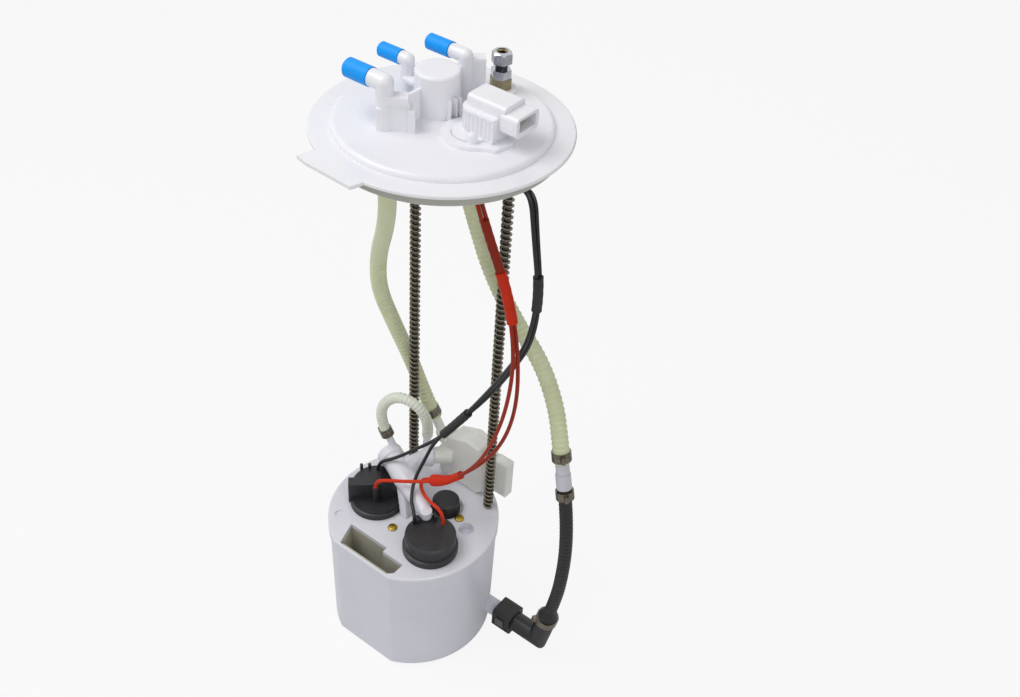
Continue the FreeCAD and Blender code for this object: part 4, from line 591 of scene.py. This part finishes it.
def make_hose(name, points, radius, depth, pitch, finish, top=None, ends=None):
    """A hose with ribs of a depth and pitch. With a top, it gets a mesh of its own."""
    settings = {"Radius": radius, "Rib Depth": depth, "Rib Pitch": pitch,
                "Step": pitch / STEPS_IN_RIB, "Sides": HOSE_SIDES,
                "Plain Start": PLAIN_END, "Plain End": PLAIN_END, "Finish": finish}
    settings.update(ends or {})
    piece, path = sweep(name + "_ribbed", points, settings)
    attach(piece, "reservoir")
    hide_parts(name)
    if top is not None:
        press_down(piece)
    print("%s: %.0f mm" % (name, 1000 * length_of(path)))


make_hose("left_hose", LEFT_HOSE, 0.0055, 0.0006, 0.0038, hose_nylon, HOSE_TOP,
          {"Plain Start": 0.1})
make_hose("right_hose", RIGHT_HOSE, 0.0058, 0.0005, 0.0038, hose_nylon, HOSE_TOP)
make_hose("black_hose", BLACK_HOSE, 0.0047, 0.00018, 0.0034, hose_black, None,
          {"Start Cuff": 0.0054, "Start Length": 0.009, "End Cuff": 0.0074, "End Length": 0.009,
           "End Taper": 0.021})
make_hose("loop_hose", LOOP_HOSE, 0.0040, 0.0004, 0.0026, loop_nylon, None)

# %% [markdown]
# The wires. A red pair and a black pair leave the connector's underside, run in
# a wide bow beside the rods and split between the two pumps. Each pair has one
# trunk of corner points and two branches. A trunk's fourth value is how far each
# wire stands off the trunk there: 0 where a sleeve holds the pair together, and
# up to 3 mm where the two hang apart.

# %% The wires
RED_TRUNK = [
    (0.0385, 0.004, 0.4238, 0), (0.0385, 0.004, 0.409, 0), (0.0465, 0.0054, 0.383, 0.0007),
    (0.0665, 0.0077, 0.336, 0), (0.0755, 0.0072, 0.295, 0.0004), (0.0765, 0.0046, 0.255, 0.0024),
    (0.0688, 0.0026, 0.2195, 0.003), (0.0537, 0.0022, 0.1885, 0.001), (0.031, 0.0016, 0.16, 0),
    (0.0145, 0.001, 0.1496, 0),
]
RED_TO_LEFT = [
    (-0.004, -0.0055, 0.1405), (-0.0185, -0.011, 0.1365), (-0.0254, -0.0136, 0.1325),
    (-0.0254, -0.0136, 0.126),
]
RED_TO_FRONT = [
    (0.0057, 0.0008, 0.145), (0.0072, -0.0005, 0.1346), (0.0178, -0.0035, 0.1328),
    (0.027, -0.0052, 0.1345), (0.0325, -0.0059, 0.1293), (0.0325, -0.0059, 0.122),
]
BLACK_TRUNK = [
    (0.0375, 0.0095, 0.4238, 0), (0.0375, 0.0095, 0.4085, 0), (0.046, 0.011, 0.4067, 0.0002),
    (0.062, 0.0135, 0.4098, 0.0006), (0.0725, 0.0147, 0.4085, 0.0008),
    (0.0767, 0.0142, 0.383, 0.0004), (0.0832, 0.0142, 0.345, 0), (0.0805, 0.0138, 0.308, 0.0008),
    (0.069, 0.0155, 0.281, 0.001), (0.047, 0.018, 0.2385, 0.0012), (0.0225, 0.0165, 0.198, 0),
    (0.007, 0.0145, 0.174, 0),
]
BLACK_TO_LEFT = [
    (-0.009, 0.0103, 0.1575), (-0.024, 0.006, 0.142), (-0.036, 0.0008, 0.1345),
    (-0.036, 0.0008, 0.126),
]
BLACK_TO_FRONT = [
    (0.0032, 0.0075, 0.1575), (0.0008, -0.001, 0.1425), (0.006, -0.0105, 0.1325),
    (0.012, -0.0152, 0.1332), (0.0164, -0.0186, 0.1288), (0.0164, -0.0186, 0.122),
]
WIRE_RADIUS = 0.0013
PAIR_STEP = 0.0013    # each wire's own radius to either side, so that the two just touch
RED_APART = Vector((0.79, 0.61, 0.0))
BLACK_APART = Vector((0.87, 0.12, -0.47))


def strand(trunk, branch, side, apart_way):
    """One wire's points, to the side 1 or -1 of its trunk and then down its branch."""
    points = []
    for x, y, z, apart in trunk:
        points.append(tuple(Vector((x, y + side * PAIR_STEP, z)) + side * apart * apart_way))
    return points + branch


WIRE_SETTINGS = {"Radius": WIRE_RADIUS, "Rib Depth": 0.0, "Rib Pitch": 0.01, "Step": 0.002,
                 "Sides": 12}


def make_wire(name, points, finish):
    piece, path = sweep(name + "_wire", points, {**WIRE_SETTINGS, "Finish": finish})
    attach(piece, "reservoir")
    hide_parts(name)
    press_down(piece)
    print("%s: %.0f mm" % (name, 1000 * length_of(path)))


make_wire("red_wire_left", strand(RED_TRUNK, RED_TO_LEFT, -1, RED_APART),
          wire_red)
make_wire("red_wire_front", strand(RED_TRUNK, RED_TO_FRONT, 1, RED_APART),
          wire_red)
make_wire("black_wire_left", strand(BLACK_TRUNK, BLACK_TO_LEFT, 1, BLACK_APART),
          wire_black)
make_wire("black_wire_front", strand(BLACK_TRUNK, BLACK_TO_FRONT, -1, BLACK_APART),
          wire_black)

# %% [markdown]
# Shrink sleeves hold each pair together. They are short tubes round the middle
# line of their pair, so they take the part of that line between two heights. The
# red pair has a thin brown wrap above its upper sleeve, and its lower sleeve
# widens towards the split.

# %% The sleeves
RED_UPPER = (0.3535, 0.3185)
RED_LOWER = (0.1735, 0.1507)
RED_WRAP = (0.3845, 0.3525)
BLACK_UPPER = (0.3575, 0.3305)
BLACK_LOWER = (0.2165, 0.1835)
SLEEVE_SETTINGS = {"Rib Depth": 0.0001, "Rib Pitch": 0.006, "Step": 0.0008, "Sides": 24,
                   "Plain Start": 0.0015, "Plain End": 0.0015, "End Length": 0.004,
                   "End Taper": 0.05}


def middle_path(trunk, branch):
    line = nurbs_line("pair_middle", [point[:3] for point in trunk] + branch)
    path = path_of(line)
    bpy.data.objects.remove(line)
    return path


def between(path, high, low):
    """The part of a path between two heights, where it comes down."""
    return [point for point in path if low <= point.z <= high]


def make_sleeves(name, path, spans, radius, finish, flare=0.0):
    """Sleeves on the spans of a path. A flare is the radius at their lower end."""
    curve = bpy.data.curves.new(name, "CURVE")
    curve.dimensions = "3D"
    for high, low in spans:
        part = between(path, high, low)
        spline = curve.splines.new("POLY")
        spline.points.add(len(part) - 1)
        for control, point in zip(spline.points, part):
            control.co = (*point, 1.0)
    piece = grown(name, linked(name + "_line", curve), hose_tree, {
        **SLEEVE_SETTINGS, "Radius": radius, "End Cuff": flare, "Finish": finish})
    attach(piece, "reservoir")
    press_down(piece)
    print("%s: %d faces" % (name, len(piece.data.polygons)))
    return piece


red_path = middle_path(RED_TRUNK, RED_TO_LEFT)
black_path = middle_path(BLACK_TRUNK, BLACK_TO_LEFT)
red_tube = make_sleeves("red_sleeve_upper", red_path, [RED_UPPER],
                        0.0035, sleeve_red)
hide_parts("red_sleeves")
make_sleeves("red_sleeve_lower", red_path, [RED_LOWER],
             0.0029, sleeve_red, 0.0043)
make_sleeves("red_wrap", red_path, [RED_WRAP], 0.0029, wrap_red)
black_tubes = make_sleeves("black_sleeve_tubes", black_path, [BLACK_UPPER, BLACK_LOWER],
                           0.0032, sleeve_black)
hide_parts("black_sleeves")

# %% [markdown]
# The springs are open wound coils of round wire on the guide rods. Their pitch in
# the photograph gives 73 turns over the length of a rod. A spiral is a rule, so
# Geometry Nodes make it: a spiral curve, a round section, and a finish. The
# tree starts from an empty seed, because it needs nothing but its inputs.

# %% The springs
SPRING_LOW = 0.106
SPRING_HIGH = 0.412
SPRING_RADIUS = 0.00305
SPRING_WIRE = 0.00075
SPRING_TURNS = 73.0


def make_spring_tree():
    tree = bpy.data.node_groups.new("coil_spring", "GeometryNodeTree")
    new_input(tree, "Geometry", "NodeSocketGeometry")
    new_input(tree, "Turns", "NodeSocketFloat", 50.0)
    new_input(tree, "Coil Radius", "NodeSocketFloat", 0.0034)
    new_input(tree, "Wire Radius", "NodeSocketFloat", 0.0005)
    new_input(tree, "Height", "NodeSocketFloat", 0.3)
    new_input(tree, "Foot", "NodeSocketVector")
    new_input(tree, "Finish", "NodeSocketMaterial")
    tree.interface.new_socket(name="Geometry", in_out="OUTPUT", socket_type="NodeSocketGeometry")
    given = add(tree, "NodeGroupInput").outputs
    spiral = add(tree, "GeometryNodeCurveSpiral", {
        "Resolution": 16, "Rotations": given["Turns"], "Start Radius": given["Coil Radius"],
        "End Radius": given["Coil Radius"], "Height": given["Height"]})
    ring = add(tree, "GeometryNodeCurvePrimitiveCircle", {"Resolution": 8,
                                                          "Radius": given["Wire Radius"]})
    wire = add(tree, "GeometryNodeCurveToMesh", {"Curve": spiral.outputs["Curve"],
                                                 "Profile Curve": ring.outputs["Curve"],
                                                 "Fill Caps": True})
    smooth = add(tree, "GeometryNodeSetShadeSmooth", {"Geometry": wire.outputs["Mesh"]})
    placed = add(tree, "GeometryNodeTransform", {"Geometry": smooth.outputs["Geometry"],
                                                 "Translation": given["Foot"]})
    plain = add(tree, "GeometryNodeRealizeInstances", {"Geometry": placed.outputs["Geometry"]})
    done = add(tree, "GeometryNodeSetMaterial", {"Geometry": plain.outputs["Geometry"],
                                                 "Material": given["Finish"]})
    add(tree, "NodeGroupOutput", {"Geometry": done.outputs["Geometry"]})
    return tree


spring_tree = make_spring_tree()


def make_spring(side):
    """A coil round the middle of its rod."""
    low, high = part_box("guide_rod_" + side)
    foot = ((low[0] + high[0]) / 2, (low[1] + high[1]) / 2, SPRING_LOW + SPRING_WIRE)
    seed = linked("coil_seed", bpy.data.meshes.new("coil_seed"))
    piece = grown("coil_" + side, seed, spring_tree, {
        "Turns": SPRING_TURNS, "Coil Radius": SPRING_RADIUS, "Wire Radius": SPRING_WIRE,
        "Height": SPRING_HIGH - SPRING_LOW - 2 * SPRING_WIRE, "Foot": foot, "Finish": spring_metal})
    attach(piece, "reservoir")
    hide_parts("spring_" + side)
    press_down(piece)
    print("coil_%s: %d faces" % (side, len(piece.data.polygons)))


for side in ("left", "right"):
    make_spring(side)

# %% [markdown]
# The manifold and the filter housing are hollow mouldings whose tubes, arms and
# ribs flow into each other. Booleans of cylinders would leave sharp inner
# corners. So each is put together from convex hulls over a few rings, then a
# voxel remesh melts them into one skin and a smoothing rounds the corners as a
# mould's fillets do. All sizes of these bodies are in millimetres.

# %% Helpers for moulded bodies
MM = 0.001
TO_MM = 1000


def ring(centre, way, radius, steps=24):
    """Points of a circle that stands across a direction."""
    way = Vector(way).normalized()
    side = way.cross(Vector((0, 0, 1)))
    side = side.normalized() if side.length > 0.01 else Vector((1, 0, 0))
    other = way.cross(side)
    angles = [2 * math.pi * step / steps for step in range(steps)]
    return [Vector(centre) + radius * (math.cos(a) * side + math.sin(a) * other) for a in angles]


def tube(start, end, radius, end_radius=None):
    """Two rings, whose hull is a straight or a tapered tube."""
    way = Vector(end) - Vector(start)
    return ring(start, way, radius) + ring(end, way, end_radius or radius)


def box_corners(low, high):
    return [Vector((x, y, z)) for x in (low[0], high[0]) for y in (low[1], high[1])
            for z in (low[2], high[2])]


def moulded(name, hulls, voxel, rounding):
    """One skin over several convex hulls. Rounding is how often it is smoothed."""
    shape = bmesh.new()
    for hull in hulls:
        corners = [shape.verts.new(point * MM) for point in hull]
        found = bmesh.ops.convex_hull(shape, input=corners)
        spare = [v for v in found["geom_interior"] if isinstance(v, bmesh.types.BMVert)]
        bmesh.ops.delete(shape, geom=spare, context="VERTS")
    bmesh.ops.recalc_face_normals(shape, faces=shape.faces)
    mesh = bpy.data.meshes.new(name + "_hulls")
    shape.to_mesh(mesh)
    shape.free()
    block = linked(name + "_hulls", mesh)
    melt = block.modifiers.new("melt", "REMESH")
    melt.mode = "VOXEL"
    melt.voxel_size = voxel
    melt.use_smooth_shade = True
    soften = block.modifiers.new("soften", "SMOOTH")
    soften.iterations = rounding
    piece = linked(name, settled_mesh(block))
    bpy.data.objects.remove(block)
    print("%s: %d faces" % (name, len(piece.data.polygons)))
    return piece


def past_end(points, far, radius):
    """The nipple that a hose's first point is pushed on."""
    end, before = Vector(points[0]) * TO_MM, Vector(points[1]) * TO_MM
    way = (end - before).normalized()
    return tube(end - way * 6, end + way * far, radius)


# %% [markdown]
# The manifold takes the fuel of both pumps. A thick arm rises from the front
# pump's cap to a collar at the left, a short branch goes to the filter, a foot
# stands between the two pump caps, and two nipples carry the loop hose.

# %% The manifold
COVER_TOP = 106.0
COLLAR_LEFT = Vector((-35.0, 14.1, 131.5))
COLLAR_RIGHT = Vector((-12.3, 36.0, 130.0))
FINGER_END = Vector((19.0, -9.0, 126.3))
arm_way = (FINGER_END - COLLAR_LEFT).normalized()
branch_way = Vector((0.72, 0.695, 0.0)).normalized()


COLLAR_RADIUS = 9.6
ARM_RADIUS = 8.6
FINGER_RADIUS = 4.6
BRANCH_RADIUS = 6.4
LOOP_NIPPLE = 2.7
collar = tube(COLLAR_LEFT - arm_way * 3.5, COLLAR_LEFT + arm_way * 4.0, COLLAR_RADIUS)
arm = tube(COLLAR_LEFT, COLLAR_LEFT + arm_way * 26, 8.4, ARM_RADIUS)
finger = (ring(COLLAR_LEFT + arm_way * 24, arm_way, ARM_RADIUS)
          + ring(FINGER_END - arm_way * 1.5, arm_way, FINGER_RADIUS))
finger_tip = tube(FINGER_END + Vector((0, 0, 3.4)), FINGER_END - Vector((0, 0, 3.6)),
                  FINGER_RADIUS, 4.2)
finger_spout = tube(FINGER_END, FINGER_END - Vector((0, 0, 4.3)), 3.4)
branch_collar = tube(COLLAR_RIGHT - branch_way * 6.0, COLLAR_RIGHT, 8.4)
branch = (ring(COLLAR_RIGHT - branch_way * 5, branch_way, BRANCH_RADIUS)
          + ring(COLLAR_LEFT + arm_way * 16, branch_way, 7.6))
web = (ring(COLLAR_LEFT + arm_way * 24, arm_way, 7.4)
       + ring(COLLAR_RIGHT - branch_way * 10, arm_way, 6.0))
foot = (box_corners((-5.5, -9.0, COVER_TOP), (0.5, 2.0, COVER_TOP + 1))
        + ring(COLLAR_LEFT + arm_way * 22, arm_way, 6.4))
loop_nipples = [past_end(LOOP_HOSE[:2], 15, LOOP_NIPPLE),
                past_end(LOOP_HOSE[::-1][:2], 21, LOOP_NIPPLE)]
manifold = moulded("manifold_body", [
    collar, arm, finger, finger_tip, finger_spout, branch_collar, branch, web, foot,
    *loop_nipples], 0.6 * MM, 2)
manifold.data.materials.append(fitting_white)
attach(manifold, "reservoir")
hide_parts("manifold")

# %% [markdown]
# The filter housing is a flat milky can behind the manifold, with a slanted top,
# a belt where its two halves are welded, a mounting lug at its right, the left
# hose's elbow at its left and a neck to the manifold's branch. It is moulded
# like the manifold, and a little coarser, because its corners are rounder.

# %% The filter housing
CAN_FRONT, CAN_BACK = 44.0, 62.0
BELT_FRONT, BELT_BACK = 53.0, 56.0
CAN_OUTLINE = [(-12, 108), (-13, 134), (-5, 147), (12, 154), (24, 152), (29, 144), (29, 112),
               (24, 107)]
HOSE_NIPPLE = 3.6
ELBOW_RADIUS = 5.2
can = [Vector((x, y, z)) for x, z in CAN_OUTLINE for y in (CAN_FRONT, CAN_BACK)]
belt = [Vector((x * 1.04 - 0.3, y, z * 1.01 - 0.6)) for x, z in CAN_OUTLINE
        for y in (BELT_FRONT, BELT_BACK)]
hose_end = Vector(LEFT_HOSE[-1]) * TO_MM
hose_way = (hose_end - Vector(LEFT_HOSE[-2]) * TO_MM).normalized()
knee = hose_end + hose_way * 21
elbow = [tube(hose_end + hose_way * 14, knee + hose_way * 2, ELBOW_RADIUS),
         tube(knee, (-5, knee.y - 0.5, 129), ELBOW_RADIUS)]
neck = tube(COLLAR_RIGHT - branch_way * 1, COLLAR_RIGHT + branch_way * 14, BRANCH_RADIUS)
lug = [box_corners((31, 53, 108), (44, 62, 141)), box_corners((33, 55, 141), (42, 60, 143)),
       box_corners((25, 55, 121), (37.5, 59, 137))]
housing = moulded("filter_can", [
    can, belt, past_end(LEFT_HOSE[::-1][:2], 22, HOSE_NIPPLE), *elbow, neck, *lug], 0.8 * MM, 3)
housing.data.materials.append(housing_nylon)
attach(housing, "reservoir")
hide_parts("filter_housing")

# %% [markdown]
# Two pan head screws hold the cover. Their heads have a cross recess, which a
# Boolean cuts from a turned dome: the profile is spun, because a spun surface is
# even all round. Geometry Nodes put one screw on each point of a small mesh, in
# place of the plain buttons of the solids, so a third screw would be one point
# more.

# %% The cover's screws
SCREW_POINTS = [(-0.0019, -0.0215, 0.106), (0.0296, 0.0168, 0.106)]
HEAD_STEPS = 32
HEAD_PROFILE = [(0.0, 0.0), (0.0033, 0.0), (0.0035, 0.0004), (0.0033, 0.0010), (0.0026, 0.0015),
                (0.0015, 0.0018), (0.0, 0.0019)]
RECESS_BARS = [(0.0042, 0.0008), (0.0008, 0.0042)]
RECESS_MIDDLE = 0.0017
RECESS_HEIGHT = 0.002
SHANK_RADIUS = 0.0015
SHANK_LENGTH = 0.014


def turned_mesh(name, profile, steps):
    """Spin a profile of radius and height round the vertical axis."""
    points, faces = [], []
    for radius, height in profile:
        for step in range(steps):
            angle = 2 * math.pi * step / steps
            points.append((radius * math.cos(angle), radius * math.sin(angle), height))
    for row in range(len(profile) - 1):
        for step in range(steps):
            after = (step + 1) % steps
            faces.append((row * steps + step, row * steps + after,
                          (row + 1) * steps + after, (row + 1) * steps + step))
    shape = bmesh.new()
    corners = [shape.verts.new(point) for point in points]
    for face in faces:
        shape.faces.new([corners[i] for i in face])
    bmesh.ops.remove_doubles(shape, verts=shape.verts, dist=1e-6)
    bmesh.ops.recalc_face_normals(shape, faces=shape.faces)
    mesh = bpy.data.meshes.new(name)
    shape.to_mesh(mesh)
    shape.free()
    return mesh


def crossed_bars(name):
    """The cross that is cut out of a head."""
    shape = bmesh.new()
    for wide, deep in RECESS_BARS:
        size = Matrix.Diagonal((wide, deep, RECESS_HEIGHT, 1))
        place = Matrix.Translation((0, 0, RECESS_MIDDLE)) @ size
        bmesh.ops.create_cube(shape, size=1.0, matrix=place)
    mesh = bpy.data.meshes.new(name)
    shape.to_mesh(mesh)
    shape.free()
    return mesh


def screw_head():
    """A dome with its recess cut in."""
    head = linked("screw_dome", turned_mesh("screw_dome", HEAD_PROFILE, HEAD_STEPS))
    bars = linked("recess_bars", crossed_bars("recess_bars"))
    cut = head.modifiers.new("recess", "BOOLEAN")
    cut.object = bars
    cut.operation = "DIFFERENCE"
    cut.use_self = True
    mesh = settled_mesh(head)
    bpy.data.objects.remove(bars)
    head.modifiers.clear()
    head.data = mesh
    return head


def make_screw_tree():
    tree = bpy.data.node_groups.new("screws_on_points", "GeometryNodeTree")
    new_input(tree, "Geometry", "NodeSocketGeometry")
    new_input(tree, "Head", "NodeSocketObject")
    new_input(tree, "Shank Radius", "NodeSocketFloat", SHANK_RADIUS)
    new_input(tree, "Shank Length", "NodeSocketFloat", SHANK_LENGTH)
    new_input(tree, "Finish", "NodeSocketMaterial")
    tree.interface.new_socket(name="Geometry", in_out="OUTPUT", socket_type="NodeSocketGeometry")
    given = add(tree, "NodeGroupInput").outputs
    head = add(tree, "GeometryNodeObjectInfo", {"Object": given["Head"]}).outputs["Geometry"]
    shank = add(tree, "GeometryNodeMeshCylinder", {"Vertices": 16, "Radius": given["Shank Radius"],
                                                   "Depth": given["Shank Length"]}).outputs["Mesh"]
    half = add(tree, "ShaderNodeMath", {0: given["Shank Length"], 1: -0.5},
               operation="MULTIPLY").outputs[0]
    drop = add(tree, "ShaderNodeCombineXYZ", {"Z": half}).outputs["Vector"]
    lowered = add(tree, "GeometryNodeTransform", {"Geometry": shank,
                                                  "Translation": drop}).outputs["Geometry"]
    screw = add(tree, "GeometryNodeJoinGeometry")
    tree.links.new(head, screw.inputs[0])
    tree.links.new(lowered, screw.inputs[0])
    placed = add(tree, "GeometryNodeInstanceOnPoints", {"Points": given["Geometry"],
                                                        "Instance": screw.outputs["Geometry"]})
    plain = add(tree, "GeometryNodeRealizeInstances", {"Geometry": placed.outputs["Instances"]})
    done = add(tree, "GeometryNodeSetMaterial", {"Geometry": plain.outputs["Geometry"],
                                                 "Material": given["Finish"]})
    add(tree, "NodeGroupOutput", {"Geometry": done.outputs["Geometry"]})
    return tree


screw_mesh = bpy.data.meshes.new("screw_points")
screw_mesh.from_pydata(SCREW_POINTS, [], [])
dome = screw_head()
screws = grown("pan_head_screws", linked("screw_points", screw_mesh), make_screw_tree(), {
    "Head": dome, "Shank Radius": SHANK_RADIUS, "Shank Length": SHANK_LENGTH,
    "Finish": screw_metal})
bpy.data.objects.remove(dome)
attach(screws, "reservoir")
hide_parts("cover_screws")
print("screws:", len(screws.data.polygons), "faces")

# %% [markdown]
# A white studio: one wide soft lamp high on the left, a weaker one on the right,
# and an even white world. The photograph's background is nearly pure white, and
# a world that bright would wash out the shadows. So the world shows that white
# to the camera, in mirrors and through clear plastic, the floor glows for the
# camera alone, and both light the pieces with less.

# %% The studio
WORLD_LIGHT = 0.44
WORLD_SEEN = 0.98
KEY_PLACE, KEY_SIZE, KEY_WATTS = (-0.5, -0.45, 1.4), 0.8, 8.3
SIDE_PLACE, SIDE_SIZE, SIDE_WATTS = (1.2, -0.6, 0.9), 0.7, 3.0
FLOOR_REACH = 6.0
FLOOR_GLOW = 0.9

world = bpy.data.worlds.new("studio_world")
scene.world = world
world.use_nodes = True
sky = world.node_tree
sky.nodes.clear()
rays = add(sky, "ShaderNodeLightPath")
straight = add(sky, "ShaderNodeMath", {0: rays.outputs["Is Camera Ray"],
                                       1: rays.outputs["Is Glossy Ray"]}, operation="MAXIMUM")
seen = add(sky, "ShaderNodeMath", {0: straight.outputs[0], 1: rays.outputs["Is Transmission Ray"]},
           operation="MAXIMUM")
strength = add(sky, "ShaderNodeMapRange", {"Value": seen.outputs[0], "To Min": WORLD_LIGHT,
                                           "To Max": WORLD_SEEN})
light = add(sky, "ShaderNodeBackground", {"Color": (1, 1, 1, 1),
                                          "Strength": strength.outputs["Result"]})
add(sky, "ShaderNodeOutputWorld", {"Surface": light.outputs["Background"]})


def lamp(name, place, target, width, power):
    """A square soft lamp that faces a target."""
    data = bpy.data.lights.new(name, "AREA")
    data.size = width
    data.energy = power
    obj = linked(name, data)
    obj.location = place
    obj.rotation_euler = (Vector(target) - Vector(place)).to_track_quat("-Z", "Y").to_euler()


lamp("key_lamp", KEY_PLACE, (0.0, 0.0, 0.35), KEY_SIZE, KEY_WATTS)
lamp("side_lamp", SIDE_PLACE, (0.0, 0.0, 0.3), SIDE_SIZE, SIDE_WATTS)

floor_mesh = bpy.data.meshes.new("floor")
floor_mesh.from_pydata([(x * FLOOR_REACH, y * FLOOR_REACH, 0)
                        for x, y in ((-1, -1), (1, -1), (1, 1), (-1, 1))], [], [(0, 1, 2, 3)])
floor = linked("floor", floor_mesh)
floor_paint, paper = start_material("floor_paper")
matte = add(paper, "ShaderNodeBsdfDiffuse", {"Color": (0.85, 0.85, 0.86, 1)})
glow = add(paper, "ShaderNodeEmission", {"Color": (0.98, 0.98, 0.98, 1), "Strength": 1.0})
floor_rays = add(paper, "ShaderNodeLightPath")
glow_share = add(paper, "ShaderNodeMath", {0: floor_rays.outputs["Is Camera Ray"], 1: FLOOR_GLOW},
                 operation="MULTIPLY")
mixed = add(paper, "ShaderNodeMixShader", {0: glow_share.outputs[0], 1: matte.outputs["BSDF"],
                                           2: glow.outputs["Emission"]})
add(paper, "ShaderNodeOutputMaterial", {"Surface": mixed.outputs["Shader"]})
floor_mesh.materials.append(floor_paint)

scene.view_settings.view_transform = "Standard"
print("lamps: %.1f and %.1f W" % (KEY_WATTS, SIDE_WATTS))
